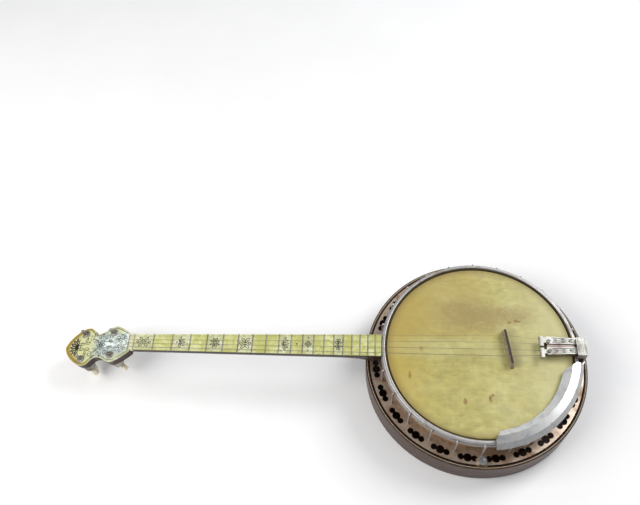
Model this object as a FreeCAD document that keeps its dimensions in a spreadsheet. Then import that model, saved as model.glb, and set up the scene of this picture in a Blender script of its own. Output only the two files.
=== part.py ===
import FreeCAD, Part
import math
import os
import Sketcher
from FreeCAD import Placement, Rotation, Vector

# A four-string tenor banjo with a resonator, in millimetres. The origin is the centre of the flat
# back of the resonator, +Z is the way the head faces, the neck runs along -X and the armrest is
# on the -Y (bass) side.

# ---------------------------------------------------------------------------------------------
# Driving dimensions: alias, value, what it is
# ---------------------------------------------------------------------------------------------
SIZES = (
    ("back_radius", 173.5, "resonator, outside radius"),
    ("back_thick", 5, "resonator back, thickness"),
    ("side_inner", 168.5, "resonator side, inside radius"),
    ("side_top", 48.5, "resonator side, height of its edge"),
    ("rim_inner", 122, "wooden rim, inside radius"),
    ("rim_outer", 138, "wooden rim, outside radius"),
    ("rim_bottom", 22, "wooden rim, lower edge"),
    ("rim_top", 84, "wooden rim, seat of the tone ring"),
    ("shoulder_outer", 141, "shoulder of the rim above the flange"),
    ("shoulder_top", 53, "top of that shoulder"),
    ("flange_inner", 138.3, "flange, inside radius"),
    ("flange_outer", 167, "flange, outside radius"),
    ("flange_bottom", 46, "flange, underside"),
    ("flange_top", 49, "flange, upper face"),
    ("cutout_circle", 157.5, "flange cut-outs, radius of their centres"),
    ("cutout_core", 6.3, "flange cut-outs, middle lobe radius"),
    ("cutout_lobe", 4.7, "flange cut-outs, side lobe radius"),
    ("cutout_spread", 10, "flange cut-outs, side lobes from the middle"),
    ("ring_inner", 128, "tone ring, inside radius"),
    ("ring_outer", 140, "tone ring, outside radius"),
    ("head_top", 90, "playing surface of the head"),
    ("skin", 0.6, "thickness of the head"),
    ("skirt_bottom", 79, "lower edge of the head's skirt"),
    ("flesh_outer", 145, "flesh hoop, outside radius"),
    ("flesh_bottom", 77.5, "flesh hoop, underside"),
    ("hoop_inner", 143.8, "tension hoop, inside radius"),
    ("hoop_outer", 149, "tension hoop, outside radius"),
    ("hoop_bottom", 81.5, "tension hoop, underside"),
    ("hoop_top", 93, "tension hoop, upper edge"),
    ("ledge_outer", 150.4, "tension hoop, radius of the ledge under the hooks"),
    ("ledge_top", 86.5, "tension hoop, height of that ledge"),
    ("hook_circle", 152.2, "tension hooks, radius of their circle"),
    ("hook_radius", 1.6, "tension hooks, wire radius"),
    ("hook_bottom", 30, "tension hooks, lower end"),
    ("nut_height", 9, "hook nuts, height"),
    ("nut_flats", 6.4, "hook nuts, across the flats"),
    ("lug_bottom", 36, "resonator lugs, underside"),
    ("screw_circle", 161.5, "resonator screws, radius of their circle"),
    ("screw_head", 6.8, "resonator screws, head radius"),
    ("screw_shank", 2, "resonator screws, shank radius"),
    ("scale_length", 578, "open string, nut to bridge"),
    ("board_length", 394.5, "fingerboard, nut to the pot"),
    ("board_slope", 1.816, "fall of the fingerboard towards the nut, degrees"),
    ("board_top", 94.4, "top of the fingerboard at the pot"),
    ("board_end", 149.6, "fingerboard end, from the centre of the pot"),
    ("board_wide", 35.9, "fingerboard, width at the pot"),
    ("board_narrow", 26.4, "fingerboard, width at the nut"),
    ("board_core", 4.6, "fingerboard wood, thickness"),
    ("pearl", 1.6, "pearloid sheet, thickness"),
    ("fret_crown", 0.9, "fret, height above the board"),
    ("fret_half", 1, "fret, half the crown's width"),
    ("fret_tang", 1.4, "fret, depth of the tang"),
    ("nut_long", 5.4, "nut, along the neck"),
    ("nut_above", 1.8, "nut, height above the fingerboard"),
    ("dowel_half", 10, "dowel stick, half its width and height"),
    ("dowel_axis", 62, "dowel stick, height of its axis"),
    ("dowel_socket", 150, "dowel stick, end inside the heel"),
    ("dowel_tail", 121.5, "dowel stick, end at the tail"),
    ("bolt_radius", 3, "end bolt, shank radius"),
    ("peghead_tilt", 15, "peghead, angle to the base, degrees"),
    ("peghead_wood", 12, "peghead, thickness of the wood"),
    ("overlay", 2, "peghead overlay, thickness"),
    ("peg_bore", 4.6, "tuning peg, hole through the peghead"),
    ("post_radius", 3, "tuning peg, string post radius"),
    ("post_top", 12.8, "tuning peg, post above the overlay"),
    ("shaft_clearance", 0.05, "running fit of a shaft in its hole"),
    ("barrel_outer", 9, "tuning peg, gear housing radius"),
    ("barrel_depth", 14, "tuning peg, gear housing depth"),
    ("gear_module", 0.4, "planetary gears, module"),
    ("gear_orbit", 4.8, "planetary gears, sun to planet"),
    ("planet_pin", 0.9, "planetary gears, pin radius"),
    ("bridge_length", 64, "bridge, length"),
    ("bridge_foot", 5.8, "bridge, thickness at its feet"),
    ("bridge_crest", 3.4, "bridge, thickness at the top"),
    ("bridge_body", 12.8, "bridge, height of the wooden part"),
    ("bridge_cap", 1.4, "bridge, height of the cap"),
    ("tail_plate", 1.7, "tailpiece, plate thickness"),
    ("tail_under", 94.3, "tailpiece, underside of the base plate"),
    ("tail_hinge_x", 149.5, "tailpiece, hinge from the centre of the pot"),
    ("tail_hinge_z", 102.5, "tailpiece, height of the hinge"),
    ("hinge_pin", 1.5, "tailpiece, hinge pin radius"),
    ("arm_thick", 2.2, "tailpiece arms, thickness"),
    ("rest_thick", 1.6, "armrest, thickness"),
    ("rest_sweep", 76.3, "armrest, angle that it covers, degrees"),
)

HOOK_STEP = 15
HOOKS_EACH_SIDE = 11
FLANGE_BAYS = 24
FRETS = 19
TEETH_SMALL = 12
TEETH_RING = 36
TAIL_CENTRE_Y = 1

doc = FreeCAD.newDocument("banjo")
sheet = doc.addObject("Spreadsheet::Sheet", "sizes")
nodes = []


class Size:
    """A number together with the spreadsheet formula that it comes from."""

    def __init__(self, value, formula):
        self.value = value
        self.formula = formula

    def __add__(self, other):
        other = as_size(other)
        return Size(self.value + other.value, f"({self.formula} + {other.formula})")

    def __sub__(self, other):
        other = as_size(other)
        return Size(self.value - other.value, f"({self.formula} - {other.formula})")

    def __mul__(self, factor):
        return Size(self.value * factor, f"({self.formula} * {factor:.6f})")

    def __neg__(self):
        return self * -1

    def __radd__(self, other):
        return self + other

    def __rsub__(self, other):
        return as_size(other) - self


def as_size(number):
    """A plain number as a Size, so that both can be mixed in a profile."""
    if isinstance(number, Size):
        return number
    return Size(float(number), f"({number:.6f})")


class Sizes:
    """The driving dimensions by name."""


def fill_sheet():
    """Write the table to the spreadsheet and return its cells by name."""
    result = Sizes()
    for row, (alias, value, meaning) in enumerate(SIZES, start=1):
        sheet.set(f"A{row}", meaning)
        sheet.set(f"B{row}", str(value))
        sheet.setAlias(f"B{row}", alias)
        setattr(result, alias, Size(float(value), f"sizes.{alias}"))
    return result


d = fill_sheet()
doc.recompute()


# ---------------------------------------------------------------------------------------------
# Small tools for bodies, sketches and features
# ---------------------------------------------------------------------------------------------
def new_body(label, place=Placement()):
    body = doc.addObject("PartDesign::Body", label)
    body.Label = label
    body.Placement = place
    return body


def keep(item, label=None):
    """Register an object as one of the kept sub-parts."""
    if label:
        item.Label = label
    nodes.append(item)
    return item


def origin_feature(body, role):
    return [item for item in body.Origin.OriginFeatures if item.Role == role][0]


def new_sketch(body, name, plane, lift=0):
    """A sketch on one of the body's own origin planes, lifted along the plane's normal."""
    target = body.newObject("Sketcher::SketchObject", f"{body.Name}_{name}")
    target.AttachmentSupport = [(origin_feature(body, plane), "")]
    target.MapMode = "FlatFace"
    target.setExpression(".AttachmentOffset.Base.z", as_size(lift).formula)
    return target


def pin(target, geometry, point, x, y):
    """Hold one point of a sketch at x, y, bound to the spreadsheet."""
    for kind, number in (("DistanceX", x), ("DistanceY", y)):
        length = as_size(number)
        rule = Sketcher.Constraint(kind, -1, 1, geometry, point, length.value)
        target.setExpression(f"Constraints[{target.addConstraint(rule)}]", length.formula)


def polygon(target, corners):
    """A closed polygon with every corner bound to the spreadsheet."""
    spots = [Vector(as_size(x).value, as_size(y).value, 0) for x, y in corners]
    first = target.GeometryCount
    count = len(spots)
    for index in range(count):
        target.addGeometry(Part.LineSegment(spots[index], spots[(index + 1) % count]), False)
    for index in range(count):
        after = first + (index + 1) % count
        target.addConstraint(Sketcher.Constraint("Coincident", first + index, 2, after, 1))
    for index, (x, y) in enumerate(corners):
        pin(target, first + index, 1, x, y)


def circle(target, x, y, radius):
    """A circle whose centre and radius are bound to the spreadsheet."""
    centre = Vector(as_size(x).value, as_size(y).value, 0)
    size = as_size(radius)
    index = target.addGeometry(Part.Circle(centre, Vector(0, 0, 1), size.value), False)
    pin(target, index, 3, x, y)
    rule = Sketcher.Constraint("Radius", index, size.value)
    target.setExpression(f"Constraints[{target.addConstraint(rule)}]", size.formula)


def curve(target, *pieces):
    """Free curves, such as arcs and splines, that join end to end."""
    for piece in pieces:
        target.addGeometry(piece, False)


def rectangle(x0, x1, y0, y1):
    return [(x0, y0), (x1, y0), (x1, y1), (x0, y1)]


def hexagon(x, y, flats):
    """Corners of a hexagon, which has this distance across its flats."""
    reach = flats * (0.5 / math.cos(math.radians(30)))
    corners = []
    for index in range(6):
        turn = math.radians(60 * index)
        corners.append((x + reach * math.cos(turn), y + reach * math.sin(turn)))
    return corners


def feature(body, kind, name):
    return body.newObject(f"PartDesign::{kind}", f"{body.Name}_{name}")


def pad(body, name, profile, length, symmetric=False, backwards=False):
    result = feature(body, "Pad", name)
    result.Profile = profile
    result.setExpression("Length", as_size(length).formula)
    result.Midplane = symmetric
    result.Reversed = backwards
    return result


def pocket(body, name, profile, length, symmetric=False, forwards=False):
    """Cut a profile into the body, and make sure that it takes material away."""
    doc.recompute()
    before = body.Shape.Volume
    result = feature(body, "Pocket", name)
    result.Profile = profile
    result.setExpression("Length", as_size(length).formula)
    result.Midplane = symmetric
    result.Reversed = forwards
    doc.recompute()
    if body.Shape.Volume > before - 1e-3:
        raise RuntimeError(f"{result.Name} cuts nothing")
    return result


def revolve(body, name, profile, angle=360, backwards=False):
    """Turn a profile about the vertical axis of its sketch."""
    result = feature(body, "Revolution", name)
    result.Profile = profile
    result.ReferenceAxis = (profile, ["V_Axis"])
    result.setExpression("Angle", as_size(angle).formula)
    result.Reversed = backwards
    return result


def polar(body, name, originals, occurrences, angle):
    """Repeat features about the body's Z axis."""
    result = feature(body, "PolarPattern", name)
    result.Originals = originals
    result.Axis = (origin_feature(body, "Z_Axis"), [""])
    result.Angle = angle
    result.Occurrences = occurrences
    body.Tip = result
    return result


def both_sides(body, name, originals):
    """Eleven positions on each side of the neck line, 15 degrees apart."""
    result = feature(body, "MultiTransform", name)
    result.Originals = originals
    steps = []
    sweep = HOOK_STEP * (HOOKS_EACH_SIDE - 1)
    for index, (angle, occurrences) in enumerate(((sweep, HOOKS_EACH_SIDE), (360, 2))):
        step = doc.addObject("PartDesign::PolarPattern", f"{body.Name}_{name}_{index}")
        step.Axis = (origin_feature(body, "Z_Axis"), [""])
        step.Angle = angle
        step.Occurrences = occurrences
        steps.append(step)
    result.Transformations = steps
    body.Tip = result
    return result


def circles_at(shape, radius, height):
    """Names of the round edges of a shape that have this radius and height."""
    names = []
    for index, edge in enumerate(shape.Edges, start=1):
        if not hasattr(edge.Curve, "Radius"):
            continue
        same = abs(edge.Curve.Radius - radius) < 1e-4
        if same and abs(edge.Curve.Center.z - height) < 1e-4:
            names.append(f"Edge{index}")
    return names


def round_rings(body, name, radius, rings):
    """Round the circular edges given as (radius, height)."""
    doc.recompute()
    base = body.Tip
    names = []
    for ring_radius, height in rings:
        names += circles_at(base.Shape, as_size(ring_radius).value, as_size(height).value)
    result = feature(body, "Fillet", name)
    result.Base = (base, names)
    result.Radius = radius
    return result


def round_loops(body, name, radius, chosen):
    """Round the edges for which chosen(edge) is true."""
    doc.recompute()
    base = body.Tip
    names = [f"Edge{n}" for n, edge in enumerate(base.Shape.Edges, start=1) if chosen(edge)]
    result = feature(body, "Fillet", name)
    result.Base = (base, names)
    result.Radius = radius
    return result


def ring(label, corners):
    """A body of revolution about the pot's axis, from its section in radius and height."""
    body = new_body(label)
    section = new_sketch(body, "section", "XZ_Plane")
    polygon(section, corners)
    revolve(body, "turned", section)
    return body


def block(label, x0, x1, y0, y1, z0, z1, place=Placement()):
    """A rectangular body."""
    body = new_body(label, place)
    base = new_sketch(body, "base", "XY_Plane", z0)
    polygon(base, rectangle(x0, x1, y0, y1))
    pad(body, "block", base, as_size(z1) - z0)
    return body


def cylinder(name, radius, bottom, height):
    """An upright cylinder on the pot's axis."""
    result = doc.addObject("Part::Cylinder", name)
    result.setExpression("Radius", as_size(radius).formula)
    result.setExpression("Height", as_size(height).formula)
    result.setExpression(".Placement.Base.z", as_size(bottom).formula)
    return result


def cut(label, base, tool):
    result = doc.addObject("Part::Cut", label)
    result.Base = base
    result.Tool = tool
    return result


def fuse(label, *pieces):
    result = doc.addObject("Part::MultiFuse", label)
    result.Shapes = list(pieces)
    return result


def solid_feature(label, shape, place=Placement()):
    result = doc.addObject("Part::Feature", label)
    result.Shape = shape
    result.Placement = place
    return result


def repeat(label, piece, places):
    """One made piece set at several places, as separate solids."""
    doc.recompute()
    copies = []
    for place in places:
        copy = piece.Shape.copy()
        copy.Placement = place.multiply(piece.Placement)
        copies.append(copy)
    return keep(solid_feature(label, Part.makeCompound(copies)))


# ---------------------------------------------------------------------------------------------
# Frames of the neck and the peghead
# ---------------------------------------------------------------------------------------------
Y_AXIS = Vector(0, 1, 0)
Z_AXIS = Vector(0, 0, 1)

# Top of the fingerboard at the pot; local x runs towards the tail along the board.
board_place = Placement(
    Vector(-d.board_end.value, 0, d.board_top.value), Rotation(Y_AXIS, -d.board_slope.value)
)
# Top of the overlay under the front of the nut; local x is minus the distance from the nut.
PEGHEAD_DROP = 0.9
nut_front = board_place.multVec(Vector(-d.board_length.value, 0, -PEGHEAD_DROP))
peghead_place = Placement(nut_front, Rotation(Y_AXIS, -d.peghead_tilt.value))

# String posts: distance from the nut and sideways offset, treble side first.
PEG_SPOTS = ((40, 19.5), (93, 22), (93, -22), (40, -19.5))
BUTTON_TURNS = (20, 75, -60, -35)
peg_places = [peghead_place.multiply(Placement(Vector(-s, y, 0), Rotation())) for s, y in PEG_SPOTS]


def half_width(x):
    """Half the fingerboard's width at local x, which is 0 at the pot and negative beyond."""
    taper = (d.board_wide.value - d.board_narrow.value) / 2 / d.board_length.value
    return d.board_wide.value / 2 + taper * x


# ---------------------------------------------------------------------------------------------
# Pot: rim, tone ring, head, hoops, hooks, flange
# ---------------------------------------------------------------------------------------------
def make_rim_shell():
    """Laminated rim with a shoulder over the flange, the dowel's hole and the end bolt's hole."""
    body = ring("rim_shell", [
        (d.rim_inner, d.rim_bottom),
        (d.rim_outer, d.rim_bottom),
        (d.rim_outer, d.flange_top),
        (d.shoulder_outer, d.flange_top),
        (d.shoulder_outer, d.shoulder_top),
        (d.rim_outer, d.shoulder_top),
        (d.rim_outer, d.rim_top),
        (d.rim_inner, d.rim_top),
    ])
    hole = new_sketch(body, "dowel_hole", "YZ_Plane")
    low = d.dowel_axis - d.dowel_half
    polygon(hole, rectangle(-d.dowel_half, d.dowel_half, low, d.dowel_axis + d.dowel_half))
    pocket(body, "dowel_way", hole, d.shoulder_outer + 5)
    bolt = new_sketch(body, "bolt_hole", "YZ_Plane")
    circle(bolt, 0, d.dowel_axis, d.bolt_radius)
    pocket(body, "bolt_way", bolt, d.shoulder_outer + 5, forwards=True)
    round_rings(body, "lower_edge", 2, [(d.rim_inner, d.rim_bottom), (d.rim_outer, d.rim_bottom)])
    keep(body)


def make_tone_ring():
    """Cast ring with a raised outer bead that carries the head."""
    top = d.head_top - d.skin
    body = ring("tone_ring", [
        (d.ring_inner, d.rim_top),
        (d.ring_outer, d.rim_top),
        (d.ring_outer, top),
        (d.ring_outer - 2.6, top),
        (d.ring_outer - 5, d.rim_top + 2.6),
        (d.ring_inner, d.rim_top + 2.6),
    ])
    keep(body)


def make_head_skin():
    """Thin head, flat on top, with a skirt down to the flesh hoop."""
    under = d.head_top - d.skin
    body = ring("head_skin", [
        (0, under),
        (d.ring_outer, under),
        (d.ring_outer, d.skirt_bottom),
        (d.ring_outer + d.skin, d.skirt_bottom),
        (d.ring_outer + d.skin, under),
        (d.ring_outer, d.head_top),
        (0, d.head_top),
    ])
    keep(body)


def make_flesh_hoop():
    body = ring("flesh_hoop", rectangle(
        d.ring_outer + d.skin, d.flesh_outer, d.flesh_bottom, d.hoop_bottom))
    keep(body)


def make_tension_hoop():
    """Rolled hoop with a ledge for the hooks."""
    body = ring("tension_hoop", [
        (d.hoop_inner, d.hoop_bottom),
        (d.ledge_outer, d.hoop_bottom),
        (d.ledge_outer, d.ledge_top),
        (d.hoop_outer, d.ledge_top),
        (d.hoop_outer, d.hoop_top),
        (d.hoop_inner, d.hoop_top),
    ])
    round_rings(body, "crown", 1.6, [(d.hoop_inner, d.hoop_top), (d.hoop_outer, d.hoop_top)])
    keep(body)


def make_tension_hooks():
    """J-shaped hooks: a shaft down through the flange and a claw on the hoop's ledge."""
    body = new_body("tension_hooks", Placement(Vector(), Rotation(Z_AXIS, HOOK_STEP)))
    bend = 2
    x = d.hook_circle.value
    claw = (d.ledge_top + d.hook_radius).value
    start = Vector(x, d.hook_bottom.value, 0)
    before = Vector(x, claw - bend, 0)
    middle = Vector(x - bend * (1 - math.cos(math.pi / 4)), claw - bend * (1 - math.sin(math.pi / 4)), 0)
    after = Vector(x - bend, claw, 0)
    end = Vector(d.hoop_outer.value, claw, 0)
    path = new_sketch(body, "path", "XZ_Plane")
    curve(path, Part.LineSegment(start, before), Part.Arc(before, middle, after),
          Part.LineSegment(after, end))
    wire = new_sketch(body, "wire", "XY_Plane", d.hook_bottom)
    circle(wire, d.hook_circle, 0, d.hook_radius)
    doc.recompute()
    hook = feature(body, "AdditivePipe", "hook")
    hook.Profile = wire
    hook.Spine = (path, ["Edge1", "Edge2", "Edge3"])
    doc.recompute()
    both_sides(body, "all", [hook])
    keep(body)


def make_hook_nuts():
    """Hexagonal nuts that pull the hooks down against the flange."""
    body = new_body("hook_nuts", Placement(Vector(), Rotation(Z_AXIS, HOOK_STEP)))
    outline = new_sketch(body, "outline", "XY_Plane", d.flange_bottom)
    polygon(outline, hexagon(d.hook_circle, as_size(0), d.nut_flats))
    circle(outline, d.hook_circle, 0, d.hook_radius)
    nut = pad(body, "nut", outline, d.nut_height, backwards=True)
    both_sides(body, "all", [nut])
    keep(body)


def make_flange():
    """One-piece flange with a hole for each hook and a three-lobed cut-out between them."""
    body = new_body("flange")
    plate = new_sketch(body, "plate", "XY_Plane", d.flange_bottom)
    circle(plate, 0, 0, d.flange_outer)
    circle(plate, 0, 0, d.flange_inner)
    pad(body, "plate_pad", plate, d.flange_top - d.flange_bottom)
    drilled = new_sketch(body, "drilled", "XY_Plane", d.flange_top)
    circle(drilled, d.hook_circle, 0, d.hook_radius + 0.15)
    hook_hole = pocket(body, "hook_hole", drilled, 5)
    turn = math.radians(HOOK_STEP / 2)
    centre = (d.cutout_circle * math.cos(turn), d.cutout_circle * math.sin(turn))
    core = new_sketch(body, "core", "XY_Plane", d.flange_top)
    circle(core, centre[0], centre[1], d.cutout_core)
    core_cut = pocket(body, "core_cut", core, 5)
    lobes = new_sketch(body, "lobes", "XY_Plane", d.flange_top)
    for side in (-1, 1):
        x = centre[0] - d.cutout_spread * (side * math.sin(turn))
        y = centre[1] + d.cutout_spread * (side * math.cos(turn))
        circle(lobes, x, y, d.cutout_lobe)
    lobe_cut = pocket(body, "lobe_cut", lobes, 5)
    polar(body, "bays", [hook_hole, core_cut, lobe_cut], FLANGE_BAYS, 360)
    screws = new_sketch(body, "screws", "XY_Plane", d.flange_top)
    for angle in (-90, 0, 90):
        turn = math.radians(angle)
        circle(screws, d.screw_circle * math.cos(turn), d.screw_circle * math.sin(turn),
               d.screw_shank + 0.2)
    pocket(body, "screw_holes", screws, 5)
    keep(body)


# ---------------------------------------------------------------------------------------------
# Resonator
# ---------------------------------------------------------------------------------------------
def make_resonator():
    """Flat wooden back, a bent side, and the lugs and thumbscrews that hold it to the flange."""
    back = ring("resonator_back", rectangle(0, d.back_radius, 0, d.back_thick))
    round_rings(back, "corner", 3, [(d.back_radius, 0)])
    keep(back)

    side = ring("resonator_side", rectangle(d.side_inner, d.back_radius, d.back_thick, d.side_top))
    round_rings(side, "edge", 1.2, [(d.side_inner, d.side_top), (d.back_radius, d.side_top)])
    keep(side)

    quarter = Placement(Vector(), Rotation(Z_AXIS, -90))
    lugs = new_body("resonator_lugs", quarter)
    foot = new_sketch(lugs, "foot", "XY_Plane", d.lug_bottom)
    polygon(foot, rectangle(d.hook_circle + 4.3, d.side_inner - 0.3, -8, 8))
    circle(foot, d.screw_circle, 0, d.screw_shank)
    lug = pad(lugs, "lug", foot, d.flange_bottom - d.lug_bottom)
    doc.recompute()
    polar(lugs, "all", [lug], 3, 180)
    keep(lugs)

    screws = new_body("resonator_screws", quarter)
    face = new_sketch(screws, "face", "XY_Plane", d.flange_top)
    circle(face, d.screw_circle, 0, d.screw_head)
    head = pad(screws, "head", face, 5.5)
    cup = new_sketch(screws, "cup", "XY_Plane", d.flange_top + 5.5)
    circle(cup, d.screw_circle, 0, d.screw_head - 2.2)
    recess = pocket(screws, "recess", cup, 3.2)
    stem = new_sketch(screws, "stem", "XY_Plane", d.lug_bottom)
    circle(stem, d.screw_circle, 0, d.screw_shank)
    shank = pad(screws, "shank", stem, d.flange_top - d.lug_bottom)
    doc.recompute()
    polar(screws, "all", [head, recess, shank], 3, 180)
    keep(screws)


# ---------------------------------------------------------------------------------------------
# Neck, fingerboard and peghead
# ---------------------------------------------------------------------------------------------
def neck_section(body, name, x, top, half_top, side, half_low, bottom):
    """One section of the neck: flat top, straight flanks to z = side, and a round back."""
    target = new_sketch(body, name, "YZ_Plane", x)
    left, right = Vector(-half_top, top, 0), Vector(half_top, top, 0)
    low_left, low_right = Vector(-half_low, side, 0), Vector(half_low, side, 0)
    curve(target, Part.LineSegment(left, right), Part.LineSegment(right, low_right),
          Part.Arc(low_right, Vector(0, bottom, 0), low_left), Part.LineSegment(low_left, left))
    return target


def neck_loft(body, name, sections, straight):
    result = feature(body, "AdditiveLoft", name)
    result.Profile = sections[0]
    result.Sections = sections[1:]
    result.Ruled = straight
    doc.recompute()


def make_neck_blank():
    """Back of the neck from the volute behind the nut to the heel at the rim."""
    body = new_body("neck_blank", board_place)
    under = -(d.board_core + d.pearl).value
    nut_back = -(d.board_length + d.nut_long).value
    heel_start = -62
    slim = neck_section(body, "slim", nut_back, under, half_width(nut_back), under - 2.2,
                        half_width(nut_back), under - 13.6)
    deep = neck_section(body, "deep", heel_start, under, half_width(heel_start), under - 2.6,
                        half_width(heel_start) - 0.2, under - 18)
    neck_loft(body, "shaft", [slim, deep], True)

    volute_front = neck_section(body, "volute_front", nut_back, under, half_width(nut_back),
                                under - 2.2, half_width(nut_back), under - 13.6)
    volute_back = neck_section(body, "volute_back", nut_back - 27, under - 8.6, 11.5, under - 9.6,
                               11.5, under - 14.6)
    neck_loft(body, "volute", [volute_front, volute_back], True)

    heel = [neck_section(body, "heel_0", heel_start, under, half_width(heel_start), under - 2.6,
                         half_width(heel_start) - 0.2, under - 18)]
    steps = ((-42, 5, 16.8, 20.5), (-26, 12, 15.4, 27.5), (-13, 21, 13.6, 34.5),
             (0, 25.5, 12.6, 37.4), (14, 26, 12.5, 37.8))
    for index, (x, flank, low, depth) in enumerate(steps, start=1):
        heel.append(neck_section(body, f"heel_{index}", x, under, half_width(x), under - flank,
                                 low, under - depth))
    neck_loft(body, "heel", heel, False)
    return body


# Half of the peghead's outline as distance from the nut and half width.
PEGHEAD_HALF = ((6.5, 14.6), (14, 20), (26, 27), (38, 31), (50, 27.2), (59, 22.2), (67, 20.5),
                (75, 24), (82, 30.6), (91, 32.6), (104, 28), (114, 20.5), (121, 13), (127.5, 0))


def peghead_plate(label, top, thick):
    """A plate of the peghead's outline, pierced for the four pegs."""
    body = new_body(label, peghead_place)
    outline = new_sketch(body, "outline", "XY_Plane", top)
    flanks = []
    for side in (1, -1):
        spline = Part.BSplineCurve()
        spline.interpolate([Vector(-s, side * half, 0) for s, half in PEGHEAD_HALF])
        flanks.append(spline)
    start, half = PEGHEAD_HALF[0]
    end = Part.LineSegment(Vector(-start, -half, 0), Vector(-start, half, 0))
    curve(outline, flanks[0], flanks[1], end)
    for s, y in PEG_SPOTS:
        circle(outline, -s, y, d.peg_bore)
    pad(body, "plate", outline, thick, backwards=True)
    doc.recompute()
    return body


def make_neck():
    """One piece of dark wood: heel, shaft and peghead, fitted around the pot."""
    blank = make_neck_blank()
    peghead = peghead_plate("peghead_blank", -d.overlay, d.peghead_wood)
    whole = fuse("neck_whole", blank, peghead)
    seat = cylinder("heel_seat", d.rim_outer, 0, 150)
    shoulder = cylinder("shoulder_space", d.shoulder_outer, 0, d.shoulder_top + 0.3)
    hoop_space = cylinder("hoop_space", d.ledge_outer + 1.6, d.flesh_bottom - 1, 60)
    socket = block("heel_socket", -d.dowel_socket, -d.rim_inner, -d.dowel_half, d.dowel_half,
                   d.dowel_axis - d.dowel_half, d.dowel_axis + d.dowel_half)
    floor = cylinder("flange_space", d.back_radius, 0, d.flange_top + 0.3)
    space = fuse("pot_space", seat, shoulder, hoop_space, socket, floor)
    keep(cut("neck", whole, space))


def board_prism(label, top, thick):
    """A plate of the fingerboard's tapered outline."""
    body = new_body(label, board_place)
    outline = new_sketch(body, "outline", "XY_Plane", top)
    wide, narrow = d.board_wide * 0.5, d.board_narrow * 0.5
    polygon(outline, [(0, -wide), (0, wide), (-d.board_length, narrow), (-d.board_length, -narrow)])
    pad(body, "plate", outline, thick, backwards=True)
    return body


def make_fingerboard():
    """Wooden core, pearloid sheet and nineteen frets with their tangs in the sheet."""
    keep(board_prism("fingerboard", -d.pearl, d.board_core))

    bars = new_body("fret_bars", board_place)
    section = new_sketch(bars, "section", "XZ_Plane")
    half, crown = d.fret_half.value, d.fret_crown.value
    slot, depth = 0.3, d.fret_tang.value
    for fret in range(1, FRETS + 1):
        x = d.scale_length.value * (1 - 2 ** (-fret / 12)) - d.board_length.value
        spots = [Vector(x + dx, z, 0) for dx, z in (
            (half, 0), (slot, 0), (slot, -depth), (-slot, -depth), (-slot, 0), (-half, 0))]
        curve(section, Part.Arc(spots[5], Vector(x, crown, 0), spots[0]))
        curve(section, *[Part.LineSegment(a, b) for a, b in zip(spots, spots[1:])])
    pad(bars, "bars", section, d.board_wide + 10, symmetric=True)
    trim = board_prism("fret_trim", 5, 10)
    frets = doc.addObject("Part::Common", "frets")
    frets.Base = bars
    frets.Tool = trim
    keep(frets)

    sheet_blank = board_prism("pearl_blank", 0, d.pearl)
    keep(cut("pearloid_sheet", sheet_blank, frets))


STRING_AT_NUT = (9.3, 3.2, -3.2, -9.3)
STRING_AT_BRIDGE = (18, 6.2, -5.8, -17)
STRING_AT_TAIL = (12.2, 7.4, -2, -6.8)
STRING_RADII = (0.16, 0.2, 0.26, 0.34)


def make_nut():
    """Bone nut with a groove for each string."""
    back = -(d.board_length + d.nut_long)
    bottom = -(d.board_core + d.pearl)
    body = block("nut", back, -d.board_length, -13.4, 13.4, bottom, d.nut_above, board_place)
    grooves = new_sketch(body, "grooves", "YZ_Plane")
    for y in STRING_AT_NUT:
        polygon(grooves, rectangle(y - 0.45, y + 0.45, d.nut_above - 0.8, d.nut_above + 1))
    pocket(body, "groove", grooves, d.board_length + 20)
    keep(body)


def make_dowel():
    """Square stick from the heel to the tail with the end bolt's hole."""
    low = d.dowel_axis - d.dowel_half
    body = block("dowel_stick", -d.dowel_socket, d.dowel_tail, -d.dowel_half, d.dowel_half,
                 low, d.dowel_axis + d.dowel_half)
    hole = new_sketch(body, "hole", "YZ_Plane", d.dowel_tail)
    circle(hole, 0, d.dowel_axis, d.bolt_radius)
    pocket(body, "bolt_hole", hole, 20)
    keep(body)

    brace = block("neck_brace", -120.2, -116.7, -16, 16, 47, 77)
    way = new_sketch(brace, "way", "YZ_Plane")
    polygon(way, rectangle(-d.dowel_half, d.dowel_half, low, d.dowel_axis + d.dowel_half))
    pocket(brace, "dowel_way", way, 130)
    keep(brace)


# ---------------------------------------------------------------------------------------------
# Bridge
# ---------------------------------------------------------------------------------------------
BRIDGE_X = 43.3
BRIDGE_TURN = 7.3
bridge_place = Placement(Vector(BRIDGE_X, 0, d.head_top.value), Rotation(Z_AXIS, BRIDGE_TURN))


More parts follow.
